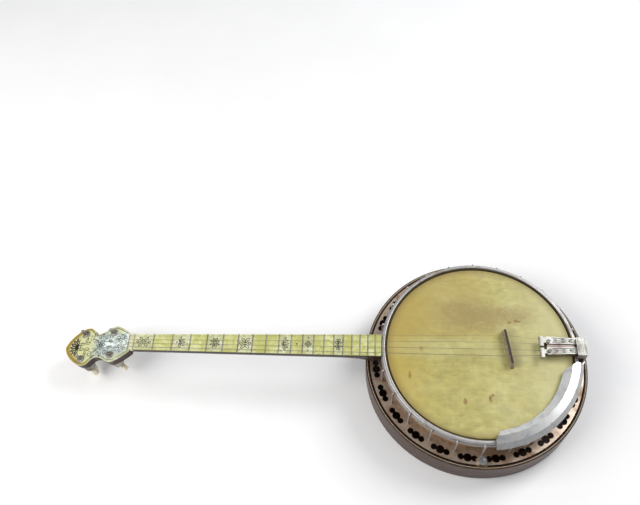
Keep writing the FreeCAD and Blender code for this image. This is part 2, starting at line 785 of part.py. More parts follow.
def make_bridge():
    """Arched bridge that tapers towards the top, with a darker cap under the strings."""
    body = new_body("bridge_body", bridge_place)
    foot = new_sketch(body, "foot", "XY_Plane")
    half = d.bridge_length * 0.5
    polygon(foot, rectangle(-d.bridge_foot * 0.5, d.bridge_foot * 0.5, -half, half))
    crest = new_sketch(body, "crest", "XY_Plane", d.bridge_body)
    top_half = half - 4
    polygon(crest, rectangle(-d.bridge_crest * 0.5, d.bridge_crest * 0.5, -top_half, top_half))
    loft = feature(body, "AdditiveLoft", "wedge")
    loft.Profile = foot
    loft.Sections = [crest]
    loft.Ruled = True
    doc.recompute()
    arches = new_sketch(body, "arches", "YZ_Plane")
    for side in (-1, 1):
        near, far, height = side * 4, side * 24, 2.4
        curve(arches, Part.LineSegment(Vector(near, -1, 0), Vector(far, -1, 0)),
              Part.LineSegment(Vector(far, -1, 0), Vector(far, 0.5, 0)),
              Part.Arc(Vector(far, 0.5, 0), Vector((near + far) / 2, height, 0), Vector(near, 0.5, 0)),
              Part.LineSegment(Vector(near, 0.5, 0), Vector(near, -1, 0)))
    pocket(body, "arch", arches, 20, symmetric=True)
    windows = new_sketch(body, "windows", "YZ_Plane")
    for index in range(6):
        y = 8.6 * (index - 2.5)
        polygon(windows, rectangle(y - 2.6, y + 2.6, 6.4, 10.4))
    pocket(body, "window", windows, 20, symmetric=True)
    keep(body)

    cap = block("bridge_cap", -d.bridge_crest * 0.5, d.bridge_crest * 0.5, -top_half, top_half,
                d.bridge_body, d.bridge_body + d.bridge_cap, bridge_place)
    grooves = new_sketch(cap, "grooves", "YZ_Plane")
    for y in STRING_AT_BRIDGE:
        top = d.bridge_body + d.bridge_cap
        polygon(grooves, rectangle(y - 0.5, y + 0.5, top - 0.5, top + 1))
    pocket(cap, "groove", grooves, 10, symmetric=True)
    keep(cap)


# ---------------------------------------------------------------------------------------------
# Tailpiece
# ---------------------------------------------------------------------------------------------
STRING_HOOK_X = 132
TAIL_LEFT, TAIL_RIGHT = TAIL_CENTRE_Y - 14, TAIL_CENTRE_Y + 14
ARM_FRONT, ARM_REAR = 100, 144.4
FLANGE_BOTTOM = 95.4
# Each arm: name, side, edges at its front, edges at its rear, edges of its presser bar, screw.
ARMS = (("treble", 1, (5.8, 18), (6, 15.6), (1.6, 17.6), 9.6),
        ("bass", -1, (-12, 0.4), (-9.6, 0.8), (-17.2, -2.2), -6.2))


def make_tailpiece_bracket():
    """Base plate over the hoop, hinge ears, cover plate and strap down to the rim."""
    plate_top = d.tail_under + d.tail_plate
    wall_out, wall_in = 158.5, 156
    cover = 106.2
    body = new_body("tailpiece_bracket")
    base = new_sketch(body, "base", "XY_Plane", d.tail_under)
    polygon(base, [(ARM_FRONT - 1, -10.2), (141, -7.6), (143.6, TAIL_LEFT), (wall_out, TAIL_LEFT),
                   (wall_out, TAIL_RIGHT), (143.6, TAIL_RIGHT), (141, 13.6), (ARM_FRONT - 1, 16.2)])
    pad(body, "base_plate", base, d.tail_plate)
    ears = new_sketch(body, "ears", "XY_Plane", plate_top)
    for near in (TAIL_LEFT, TAIL_RIGHT - 1.6):
        polygon(ears, rectangle(145, wall_in, near, near + 1.6))
    pad(body, "ear", ears, cover - plate_top)
    roof = new_sketch(body, "roof", "XY_Plane", cover)
    polygon(roof, rectangle(144, wall_out, TAIL_LEFT, TAIL_RIGHT))
    pad(body, "cover", roof, 1.8)
    strap = new_sketch(body, "strap", "XY_Plane", 55)
    polygon(strap, rectangle(wall_in, wall_out, TAIL_LEFT, TAIL_RIGHT))
    pad(body, "wall", strap, cover - 55)
    foot = new_sketch(body, "foot", "XY_Plane", 56)
    polygon(foot, rectangle(d.rim_outer + 0.1, wall_in, -8, 8))
    pad(body, "spacer", foot, 12)
    bolt = new_sketch(body, "bolt", "YZ_Plane", 170)
    circle(bolt, 0, d.dowel_axis, d.bolt_radius)
    pocket(body, "bolt_hole", bolt, 50)
    axle = new_sketch(body, "axle", "XZ_Plane")
    circle(axle, d.tail_hinge_x, d.tail_hinge_z, d.hinge_pin)
    pocket(body, "pin_hole", axle, 60, symmetric=True)
    pegs = new_sketch(body, "pegs", "XY_Plane", plate_top)
    for y in STRING_AT_TAIL:
        circle(pegs, STRING_HOOK_X, y, 0.9)
    pad(body, "string_hooks", pegs, 3.4)
    stand = new_sketch(body, "stand", "XY_Plane", plate_top)
    polygon(stand, rectangle(137, 143, 1.6, 4.6))
    pad(body, "rail_stand", stand, 100.8 - plate_top)
    strip = new_sketch(body, "strip", "XY_Plane", 100.8)
    polygon(strip, rectangle(ARM_FRONT + 1, 143.4, 1.4, 4.8))
    pad(body, "middle_rail", strip, 1.4)
    keep(body)

    pin_body = new_body("tailpiece_hinge_pin")
    end = new_sketch(pin_body, "end", "XZ_Plane", -(TAIL_RIGHT + 0.5))
    circle(end, d.tail_hinge_x, d.tail_hinge_z, d.hinge_pin)
    pad(pin_body, "rod", end, TAIL_RIGHT - TAIL_LEFT + 1)
    keep(pin_body)

    bolt_body = new_body("end_bolt")
    stem = new_sketch(bolt_body, "stem", "YZ_Plane", d.dowel_tail - 20)
    circle(stem, 0, d.dowel_axis, d.bolt_radius)
    pad(bolt_body, "shank", stem, wall_out - d.dowel_tail + 20)
    face = new_sketch(bolt_body, "face", "YZ_Plane", wall_out)
    polygon(face, hexagon(as_size(0), d.dowel_axis, as_size(10)))
    pad(bolt_body, "bolt_head", face, 4.5)
    keep(bolt_body)


def make_tailpiece_arm(name, side, front, back, bar_edges, screw_y):
    """Hinged arm: knuckle, tapered plate with a side flange, and a presser bar over two strings."""
    arm = new_body(f"tailpiece_arm_{name}")
    top = d.tail_hinge_z + 1
    rear = d.tail_hinge_x - 3
    plate = new_sketch(arm, "plate", "XY_Plane", top - d.arm_thick)
    polygon(plate, [(ARM_FRONT, front[0]), (ARM_REAR, back[0]), (ARM_REAR, back[1]), (ARM_FRONT, front[1])])
    pad(arm, "leaf", plate, d.arm_thick)
    outer_front, outer_back = (front[1], back[1]) if side > 0 else (front[0], back[0])
    lip = new_sketch(arm, "lip", "XY_Plane", FLANGE_BOTTOM)
    polygon(lip, [(104, outer_front - side * 0.2), (140.5, outer_back + side * 0.2),
                  (140.5, outer_back - side), (104, outer_front - side * 1.4)])
    pad(arm, "side_flange", lip, top - d.arm_thick - FLANGE_BOTTOM)
    tongue_left, tongue_right = max(back[0], TAIL_LEFT + 1.9), min(back[1], TAIL_RIGHT - 1.9)
    tongue = new_sketch(arm, "tongue", "XY_Plane", top - d.arm_thick)
    polygon(tongue, rectangle(ARM_REAR, rear + 1, tongue_left, tongue_right))
    pad(arm, "tongue_leaf", tongue, d.arm_thick)
    roll = new_sketch(arm, "roll", "XZ_Plane", -tongue_right)
    circle(roll, d.tail_hinge_x, d.tail_hinge_z, d.hinge_pin + 1.6)
    pad(arm, "knuckle", roll, tongue_right - tongue_left)
    bore = new_sketch(arm, "bore", "XZ_Plane")
    circle(bore, d.tail_hinge_x, d.tail_hinge_z, d.hinge_pin + d.shaft_clearance)
    pocket(arm, "pin_bore", bore, 80, symmetric=True)
    bar = new_sketch(arm, "bar", "XZ_Plane", -bar_edges[1])
    polygon(bar, [(89.6, 99.2), (93.4, 99.2), (95.4, 101.2), (95.4, top + 1.6), (91.2, top + 1.6),
                  (89.6, top)])
    pad(arm, "presser", bar, bar_edges[1] - bar_edges[0])
    bridge = new_sketch(arm, "bridge", "XY_Plane", 101.4)
    inner = max(front[0], bar_edges[0]) + 1.6, min(front[1], bar_edges[1]) - 1.6
    polygon(bridge, rectangle(95.4, ARM_FRONT, *inner))
    pad(arm, "neck", bridge, top - 101.4)
    tapped = new_sketch(arm, "tapped", "XY_Plane", top + 5)
    circle(tapped, 103.5, screw_y, 1.5 + 0.05)
    pocket(arm, "screw_hole", tapped, 20)
    panel = new_sketch(arm, "panel", "XY_Plane", top)
    polygon(panel, [(107.6, front[0] + 1.6), (142.6, back[0] + 1.4), (142.6, back[1] - 1.4),
                    (107.6, front[1] - 1.6)])
    pocket(arm, "sunk_panel", panel, 0.4)
    keep(arm)

    screw = new_body(f"tailpiece_screw_{name}")
    tip = new_sketch(screw, "tip", "XY_Plane", d.tail_under + d.tail_plate + 0.3)
    circle(tip, 103.5, screw_y, 1.5)
    pad(screw, "thread", tip, top - d.tail_under - d.tail_plate)
    knob = new_sketch(screw, "knob", "XY_Plane", top + 0.3)
    circle(knob, 103.5, screw_y, 2.9)
    pad(screw, "screw_head", knob, 2.2)
    slit = new_sketch(screw, "slit", "XY_Plane", top + 2.5)
    polygon(slit, rectangle(100, 107, screw_y - 0.4, screw_y + 0.4))
    pocket(screw, "slot", slit, 0.9)
    keep(screw)


# ---------------------------------------------------------------------------------------------
# Armrest
# ---------------------------------------------------------------------------------------------
def make_armrest():
    """Bent plate over the hoop with its inner corners cut away, on two clamps."""
    body = new_body("armrest", Placement(Vector(), Rotation(Z_AXIS, -8)))
    section = new_sketch(body, "section", "XZ_Plane")
    thick = d.rest_thick
    polygon(section, [(127, 95.8), (139, 97.1), (149.6, 95), (155.6, 87.6),
                      (155.6 + thick, 88.4), (150.6, 95 + thick), (139.2, 97.1 + thick),
                      (127, 95.8 + thick)])
    revolve(body, "sweep", section, d.rest_sweep, backwards=True)
    inner_edge = new_sketch(body, "inner_edge", "XY_Plane", 110)
    circle(inner_edge, 2.2, -9.6, 122.4)
    pocket(body, "inner_cut", inner_edge, 40)
    corners = new_sketch(body, "corners", "XY_Plane", 110)
    for near, far, outside in ((-9.8, -0.7, 4), (-70, -76, -81)):
        spots = []
        for radius, angle in ((124, near), (144, far), (146, outside), (118, outside)):
            turn = math.radians(angle)
            spots.append((radius * math.cos(turn), radius * math.sin(turn)))
        polygon(corners, spots)
    pocket(body, "corner_cuts", corners, 40)
    keep(body)

    clamps = new_body("armrest_clamps", Placement(Vector(), Rotation(Z_AXIS, -67.5)))
    strip = new_sketch(clamps, "strip", "XZ_Plane")
    polygon(strip, [(146.2, d.hoop_bottom - 1.6), (156.6, d.hoop_bottom - 1.6), (156.6, 87.3),
                    (155.2, 87.3), (155.2, d.hoop_bottom), (146.2, d.hoop_bottom)])
    clamp = pad(clamps, "clamp", strip, 9, symmetric=True)
    doc.recompute()
    polar(clamps, "pair", [clamp], 2, 45)
    keep(clamps)


# ---------------------------------------------------------------------------------------------
# Tuning pegs with 4:1 planetary gears
# ---------------------------------------------------------------------------------------------
PRESSURE_ANGLE = math.radians(25)
GEAR_BACKLASH = 0.07
BUTTON_TOP = -32.5
RING_TOP, RING_BOTTOM = -19, -25


def involute(angle):
    return math.tan(angle) - angle


def gear_outline(teeth, root, tip, extra, phase):
    """Outline of involute teeth; extra is added to each tooth's thickness at the pitch circle."""
    pitch = d.gear_module.value * teeth / 2
    base = pitch * math.cos(PRESSURE_ANGLE)
    middle = math.pi / 2 / teeth + extra / 2 / pitch + involute(PRESSURE_ANGLE)
    radii = [root] + [max(root, base) + (tip - max(root, base)) * k / 3 for k in range(4)]
    flank = []
    for radius in radii:
        turn = math.acos(min(1, base / radius))
        flank.append((radius, middle - involute(turn)))
    spots = []
    for tooth in range(teeth):
        centre = math.radians(phase) + 2 * math.pi * tooth / teeth
        for radius, half in flank:
            spots.append(Vector(radius * math.cos(centre - half), radius * math.sin(centre - half), 0))
        for radius, half in reversed(flank):
            spots.append(Vector(radius * math.cos(centre + half), radius * math.sin(centre + half), 0))
    distinct = [spot for index, spot in enumerate(spots) if spot.distanceToPoint(spots[index - 1]) > 1e-5]
    return distinct + distinct[:1]


def prism(spots, bottom, height):
    """A straight prism on a closed outline."""
    face = Part.Face(Part.makePolygon(spots))
    face.translate(Vector(0, 0, bottom))
    return face.extrude(Vector(0, 0, height))


def small_gear(phase):
    """Sun or planet wheel, without its bore."""
    module = d.gear_module.value
    pitch = module * TEETH_SMALL / 2
    outline = gear_outline(TEETH_SMALL, pitch - 1.1 * module, pitch + 0.8 * module,
                           -GEAR_BACKLASH, phase)
    return prism(outline, RING_BOTTOM + 0.5, RING_TOP - RING_BOTTOM - 0.9)


def make_peg_housing():
    """Barrel under the peghead with the ring gear inside, shared by the four pegs."""
    body = new_body("housing_blank")
    top = -(d.overlay + d.peghead_wood)
    section = new_sketch(body, "section", "XZ_Plane")
    bore = d.post_radius + d.shaft_clearance
    polygon(section, [
        (bore, top),
        (d.barrel_outer - 0.8, top),
        (d.barrel_outer, top - 0.8),
        (d.barrel_outer, top - d.barrel_depth),
        (7.9, top - d.barrel_depth),
        (7.9, RING_BOTTOM),
        (6.5, RING_BOTTOM),
        (6.5, RING_TOP),
        (7.9, RING_TOP),
        (7.9, top - 2),
        (bore, top - 2),
    ])
    revolve(body, "barrel", section)
    module = d.gear_module.value
    pitch = module * TEETH_RING / 2
    spaces = gear_outline(TEETH_RING, pitch - 0.8 * module, pitch + 1.1 * module, GEAR_BACKLASH, 5)
    gap = solid_feature("ring_spaces", prism(spaces, RING_BOTTOM - 0.5, RING_TOP - RING_BOTTOM + 1))
    return cut("housing", body, gap)


def make_peg_fixed_parts():
    """Housings, covers and face bushings of the four pegs."""
    repeat("peg_housings", make_peg_housing(), peg_places)

    bottom = -(d.overlay + d.peghead_wood + d.barrel_depth)
    cover = new_body("cover_blank")
    section = new_sketch(cover, "section", "XZ_Plane")
    polygon(section, [(1.65, bottom), (d.barrel_outer, bottom), (d.barrel_outer, bottom - 1),
                      (d.barrel_outer - 1.5, bottom - 2), (1.65, bottom - 2)])
    revolve(cover, "plate", section)
    repeat("peg_covers", cover, peg_places)

    bushing = new_body("bushing_blank")
    tube = new_sketch(bushing, "tube", "XZ_Plane")
    bore = d.post_radius + d.shaft_clearance
    polygon(tube, [(bore, -(d.overlay + d.peghead_wood)), (d.peg_bore, -(d.overlay + d.peghead_wood)),
                   (d.peg_bore, 0), (6.4, 0), (6.4, 0.8), (5.9, 1.2), (5.2, 1.2), (4.9, 2.2),
                   (4.2, 2.6), (bore, 2.6)])
    revolve(bushing, "turned", tube)
    repeat("peg_bushings", bushing, peg_places)


def make_post(label, place):
    """String post with the planet carrier at its foot."""
    body = new_body(label, place)
    top, carrier = d.post_top, -16.3
    section = new_sketch(body, "section", "XZ_Plane")
    polygon(section, [
        (0, carrier - 2.4),
        (6.7, carrier - 2.4),
        (6.7, carrier),
        (d.post_radius, carrier),
        (d.post_radius, top - 7.6),
        (d.post_radius - 0.45, top - 6.6),
        (d.post_radius - 0.45, top - 4),
        (d.post_radius, top - 3),
        (d.post_radius, top - 0.8),
        (d.post_radius - 0.8, top),
        (0, top),
    ])
    revolve(body, "turned", section)
    pins = new_sketch(body, "pins", "XY_Plane", carrier - 2.4)
    for index in range(3):
        turn = math.radians(120 * index)
        circle(pins, d.gear_orbit * math.cos(turn), d.gear_orbit * math.sin(turn), d.planet_pin)
    pad(body, "planet_pins", pins, 5.8, backwards=True)
    hole = new_sketch(body, "hole", "XZ_Plane")
    circle(hole, 0, top - 5.3, 0.6)
    pocket(body, "string_hole", hole, 10, symmetric=True)
    keep(body)


def make_button(label, place):
    """Flat oval button on the underside of the peg."""
    body = new_body(label, place)
    outline = new_sketch(body, "outline", "XZ_Plane")
    top, wide, low = BUTTON_TOP, 11.5, BUTTON_TOP - 14.5
    neck_left, neck_right = Vector(-4, top, 0), Vector(4, top, 0)
    rounded = Part.BSplineCurve()
    rounded.interpolate([neck_right, Vector(8.6, top - 3, 0), Vector(wide, top - 8, 0),
                         Vector(8, low, 0), Vector(0, low - 1.5, 0), Vector(-8, low, 0),
                         Vector(-wide, top - 8, 0), Vector(-8.6, top - 3, 0), neck_left])
    curve(outline, Part.LineSegment(neck_left, neck_right), rounded)
    pad(body, "knob", outline, 7, symmetric=True)
    round_loops(body, "soft", 1.6, lambda edge: edge.BoundBox.YLength < 1e-3
                and edge.BoundBox.ZLength > 1)
    bore = new_sketch(body, "bore", "XY_Plane", top)
    circle(bore, 0, 0, 1.6)
    pocket(body, "shaft_hole", bore, 9)
    keep(body)


def make_sun_gear(label, place):
    """Sun wheel and the shaft that the button turns it by."""
    shaft = Part.makeCylinder(1.6, RING_BOTTOM + 0.5 - BUTTON_TOP + 9, Vector(0, 0, BUTTON_TOP - 9))
    keep(solid_feature(label, small_gear(0).fuse(shaft).removeSplitter(), place))


def make_planet(label, place):
    """Planet wheel on its pin."""
    bore = d.planet_pin.value + d.shaft_clearance.value
    hole = Part.makeCylinder(bore, 20, Vector(0, 0, RING_BOTTOM - 5))
    keep(solid_feature(label, small_gear(15).cut(hole), place))


def make_pegs():
    make_peg_fixed_parts()
    for number, (place, button_turn) in enumerate(zip(peg_places, BUTTON_TURNS), start=1):
        turned = place.multiply(Placement(Vector(), Rotation(Z_AXIS, button_turn)))
        make_button(f"button_{number}", turned)
        make_sun_gear(f"sun_gear_{number}", place)
        make_post(f"post_{number}", place)
        for index, letter in enumerate("abc"):
            turn = math.radians(120 * index)
            orbit = Vector(math.cos(turn), math.sin(turn), 0) * d.gear_orbit.value
            make_planet(f"planet_{number}{letter}", place.multiply(Placement(orbit, Rotation())))


# ---------------------------------------------------------------------------------------------
# Strings
# ---------------------------------------------------------------------------------------------
def taut_path(spots, bend):
    """Straight runs joined by small tangent arcs of one radius."""
    edges = []
    start = spots[0]
    for index in range(1, len(spots) - 1):
        corner = spots[index]
        back = (spots[index - 1] - corner).normalize()
        ahead = (spots[index + 1] - corner).normalize()
        half = back.getAngle(ahead) / 2
        reach = bend / math.tan(half)
        middle_dir = (back + ahead).normalize()
        centre = corner + middle_dir * (bend / math.sin(half))
        first, last = corner + back * reach, corner + ahead * reach
        edges.append(Part.LineSegment(start, first).toShape())
        edges.append(Part.Arc(first, centre - middle_dir * bend, last).toShape())
        start = last
    edges.append(Part.LineSegment(start, spots[-1]).toShape())
    return Part.Wire(edges)


def tube(path, radius):
    """A round tube along a path."""
    start = path.Edges[0]
    direction = start.tangentAt(start.FirstParameter)
    section = Part.Wire([Part.Circle(start.Vertexes[0].Point, direction, radius).toShape()])
    return Part.Wire(path).makePipeShell([section], True, False)


def make_strings():
    """Four taut strings: loop on the tailpiece, over bridge and nut, three turns on the post."""
    bridge_top = (d.bridge_body + d.bridge_cap).value - 0.5
    coils = []
    for index, radius in enumerate(STRING_RADII):
        tail_y, bridge_y, nut_y = STRING_AT_TAIL[index], STRING_AT_BRIDGE[index], STRING_AT_NUT[index]
        eye = 1.25 * radius
        loop_radius = 0.95 + eye
        loop = Vector(STRING_HOOK_X, tail_y, 98.2)
        over_bridge = bridge_place.multVec(Vector(0, bridge_y, bridge_top + radius + 0.2))
        nut_back = -(d.board_length + d.nut_long).value
        over_nut = board_place.multVec(Vector(nut_back, nut_y, d.nut_above.value - 0.75 + radius))
        side = 1 if nut_y > 0 else -1
        wrap = 1.15 * radius
        coil_radius = d.post_radius.value + 0.06 + wrap
        coil_height = 5.4
        centre = peg_places[index].multVec(Vector(0, 0, coil_height))
        axis = peg_places[index].Rotation.multVec(Z_AXIS)
        local_nut = peg_places[index].inverse().multVec(over_nut)
        away = math.atan2(local_nut.y, local_nut.x)
        reach = math.acos(coil_radius / math.hypot(local_nut.x, local_nut.y))
        touch_angle = away - side * reach
        touch = peg_places[index].multVec(Vector(
            coil_radius * math.cos(touch_angle), coil_radius * math.sin(touch_angle), coil_height))
        pressed = Vector(93, tail_y + (bridge_y - tail_y) * 0.42, 98.3)
        leave = loop + Vector(-loop_radius, 0, 0)
        path = taut_path([leave, pressed, over_bridge, over_nut, touch], 2.5)
        string = tube(path, radius)
        string = string.fuse(Part.makeTorus(loop_radius, eye, loop, Z_AXIS))
        for turn in range(3):
            offset = axis * (-1.85 * wrap * turn)
            string = string.fuse(Part.makeTorus(coil_radius, wrap, centre + offset, axis))
        coils.append(string)
    keep(solid_feature("strings", Part.makeCompound(coils)))


# ---------------------------------------------------------------------------------------------
# Build, check and write
# ---------------------------------------------------------------------------------------------
def check_document():
    """Stop if any object failed or any kept shape is empty or broken."""
    doc.recompute()
    for item in doc.Objects:
        if "Invalid" in item.State or "Error" in item.State:
            raise RuntimeError(f"{item.Label} failed: {item.State}")
    for item in nodes:
        shape = item.Shape
        if shape.isNull() or not shape.isValid() or not shape.Solids:
            raise RuntimeError(f"{item.Label} has no valid solid")


def write_parts():
    os.makedirs("parts", exist_ok=True)
    for item in nodes:
        item.Shape.exportStep(f"parts/{item.Label}.step")
        print(f"{item.Label}: {len(item.Shape.Solids)} solids, {item.Shape.Volume:.1f} mm3")
    print(f"{len(nodes)} nodes")


make_rim_shell()
make_tone_ring()
make_head_skin()
make_flesh_hoop()
make_tension_hoop()
make_tension_hooks()
make_hook_nuts()
make_flange()
make_resonator()
make_neck()
make_fingerboard()
keep(peghead_plate("peghead_overlay", 0, d.overlay))
make_nut()
make_dowel()
make_bridge()
make_tailpiece_bracket()
for arm_settings in ARMS:
    make_tailpiece_arm(*arm_settings)
make_armrest()
make_pegs()
make_strings()
check_document()
write_parts()
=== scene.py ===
import math

import bmesh
import bpy
from mathutils import Matrix, Vector


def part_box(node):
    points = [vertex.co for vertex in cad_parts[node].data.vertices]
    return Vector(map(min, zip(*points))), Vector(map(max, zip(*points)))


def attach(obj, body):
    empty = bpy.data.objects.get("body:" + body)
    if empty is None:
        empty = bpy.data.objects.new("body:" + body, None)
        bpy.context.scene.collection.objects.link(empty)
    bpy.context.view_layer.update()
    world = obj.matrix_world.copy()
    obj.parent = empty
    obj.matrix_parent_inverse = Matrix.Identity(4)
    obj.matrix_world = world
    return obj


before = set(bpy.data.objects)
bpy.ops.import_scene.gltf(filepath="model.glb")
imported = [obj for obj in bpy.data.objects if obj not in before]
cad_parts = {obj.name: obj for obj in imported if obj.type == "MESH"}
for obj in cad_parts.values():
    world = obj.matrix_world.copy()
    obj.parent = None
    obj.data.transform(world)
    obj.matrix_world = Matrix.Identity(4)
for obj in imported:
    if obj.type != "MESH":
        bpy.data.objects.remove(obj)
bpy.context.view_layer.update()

ROOT = "banjo"
MM = 0.001

# ---------------------------------------------------------------------------------------------
# Frames and sizes, in metres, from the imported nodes
# ---------------------------------------------------------------------------------------------
board_low, board_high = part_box("pearloid_sheet")
head_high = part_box("head_skin")[1]
hoop_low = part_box("tension_hoop")[0]
HOOP_BORE = 143.8 * MM
BOARD_SLOPE = math.radians(1.816)
PEGHEAD_TILT = math.radians(15)
SCALE_LENGTH = 578 * MM
NUT_AT = (board_high.x - board_low.x) / math.cos(BOARD_SLOPE)  # from the board's pot end, along it
NUT_HALF_WIDTH = 13.2 * MM
OVERLAY_DROP = 0.9 * MM  # from the pearl of the board to the pearl of the peghead, at the nut


def tilted_frame(origin, tilt):
    """Axes of a plane that falls towards -X: local x along it towards the tail, local z its normal."""
    turn = Matrix.Rotation(-tilt, 4, "Y")
    return Matrix.Translation(origin) @ turn


BOARD = tilted_frame(Vector((board_high.x, 0, board_high.z)), BOARD_SLOPE)
PEGHEAD = tilted_frame(BOARD @ Vector((-NUT_AT, 0, -OVERLAY_DROP)), PEGHEAD_TILT)


def fret_at(number):
    """Local x of a fret on the board; fret 0 is the nut."""
    return SCALE_LENGTH * (1 - 2 ** (-number / 12)) - NUT_AT


def board_half(x):
    """Half the board's width at local x."""
    wide = (board_high.y - board_low.y) / 2
    return wide + (wide - NUT_HALF_WIDTH) * x / NUT_AT


# ---------------------------------------------------------------------------------------------
# Node tools
# ---------------------------------------------------------------------------------------------
def add(tree, kind, inputs=None, **settings):
    """A shader node with its settings, and its inputs set to values or linked to sockets."""
    node = tree.nodes.new("ShaderNode" + kind)
    for name, value in settings.items():
        setattr(node, name, value)
    for name, value in (inputs or {}).items():
        if isinstance(value, bpy.types.NodeSocket):
            tree.links.new(value, node.inputs[name])
        else:
            node.inputs[name].default_value = value
    return node


def place(tree, scale=(1, 1, 1), location=(0, 0, 0), rotation=(0, 0, 0)):
    """Object coordinates, moved, turned and scaled."""
    spot = add(tree, "TexCoord").outputs["Object"]
    inputs = {"Vector": spot, "Scale": scale, "Location": location, "Rotation": rotation}
    return add(tree, "Mapping", inputs).outputs["Vector"]


def noise(tree, vector, scale, detail=4.0, distortion=0.0):
    inputs = {"Vector": vector, "Scale": scale, "Detail": detail, "Distortion": distortion}
    return add(tree, "TexNoise", inputs).outputs["Fac"]


def ramp(tree, factor, stops):
    """A colour ramp from (position, colour) stops; a number as colour gives grey."""
    node = add(tree, "ValToRGB", {"Fac": factor})
    elements = node.color_ramp.elements
    while len(elements) < len(stops):
        elements.new(0.5)
    for element, (position, colour) in zip(elements, stops):
        element.position = position
        if isinstance(colour, (int, float)):
            colour = (colour, colour, colour)
        element.color = (*colour, 1)
    return node.outputs["Color"]


def mix(tree, factor, first, second, blend="MIX"):
    """Mix of two colours."""
    node = add(tree, "Mix", data_type="RGBA", blend_type=blend)
    for index, value in ((0, factor), (6, first), (7, second)):
        if isinstance(value, bpy.types.NodeSocket):
            tree.links.new(value, node.inputs[index])
        elif index == 0:
            node.inputs[index].default_value = value
        else:
            node.inputs[index].default_value = (*value, 1)
    return node.outputs[2]


def compute(tree, operation, first, second=0.0):
    node = add(tree, "Math", {0: first, 1: second}, operation=operation)
    node.use_clamp = True
    return node.outputs[0]


def spread(tree, value, low, high):
    """Maps low..high to 0..1, smoothly."""
    inputs = {"Value": value, "From Min": low, "From Max": high}
    return add(tree, "MapRange", inputs, interpolation_type="SMOOTHSTEP").outputs["Result"]


def along(tree, axis):
    """One coordinate of the object, in metres."""
    spot = add(tree, "TexCoord").outputs["Object"]
    return add(tree, "SeparateXYZ", {"Vector": spot}).outputs[axis]


def patch(tree, centre, size):
    """1 at a centre and 0 outside an ellipsoid of these half sizes."""
    scale = tuple(1 / length for length in size)
    shift = tuple(-middle / length for middle, length in zip(centre, size))
    vector = place(tree, scale, shift)
    return add(tree, "TexGradient", {"Vector": vector}, gradient_type="SPHERICAL").outputs["Fac"]


def new_material(name, **sockets):
    """A material with a principled shader whose uniform values sit on its own sockets."""
    material = bpy.data.materials.new(name)
    material.use_nodes = True
    tree = material.node_tree
    shader = tree.nodes["Principled BSDF"]
    for socket, value in sockets.items():
        shader.inputs[socket.replace("_", " ")].default_value = value
    return material, tree, shader


def link(tree, shader, **sockets):
    for socket, output in sockets.items():
        tree.links.new(output, shader.inputs[socket.replace("_", " ")])


def bump(tree, shader, height, strength, distance):
    inputs = {"Height": height, "Strength": strength, "Distance": distance}
    link(tree, shader, Normal=add(tree, "Bump", inputs).outputs["Normal"])


# ---------------------------------------------------------------------------------------------
# Materials
# ---------------------------------------------------------------------------------------------
SMUDGES = (  # soft and wide: where, half size, strength
    ((-0.015, 0.060), (0.075, 0.042), 0.62),
    ((0.030, 0.052), (0.075, 0.030), 0.45),
    ((0.060, 0.062), (0.050, 0.022), 0.40),
    ((0.055, -0.016), (0.014, 0.040), 0.30),
)
STAINS = (  # small and sharp: where, half size, strength
    ((0.062, 0.049), (0.0080, 0.0045), 0.75),
    ((0.050, 0.047), (0.0060, 0.0040), 0.65),
    ((0.012, -0.080), (0.0050, 0.0085), 0.85),
    ((0.016, -0.075), (0.0045, 0.0045), 0.70),
    ((-0.025, -0.085), (0.0045, 0.0085), 0.70),
    ((-0.088, -0.002), (0.0065, 0.0065), 0.45),
    ((-0.106, -0.046), (0.0040, 0.0110), 0.60),
)


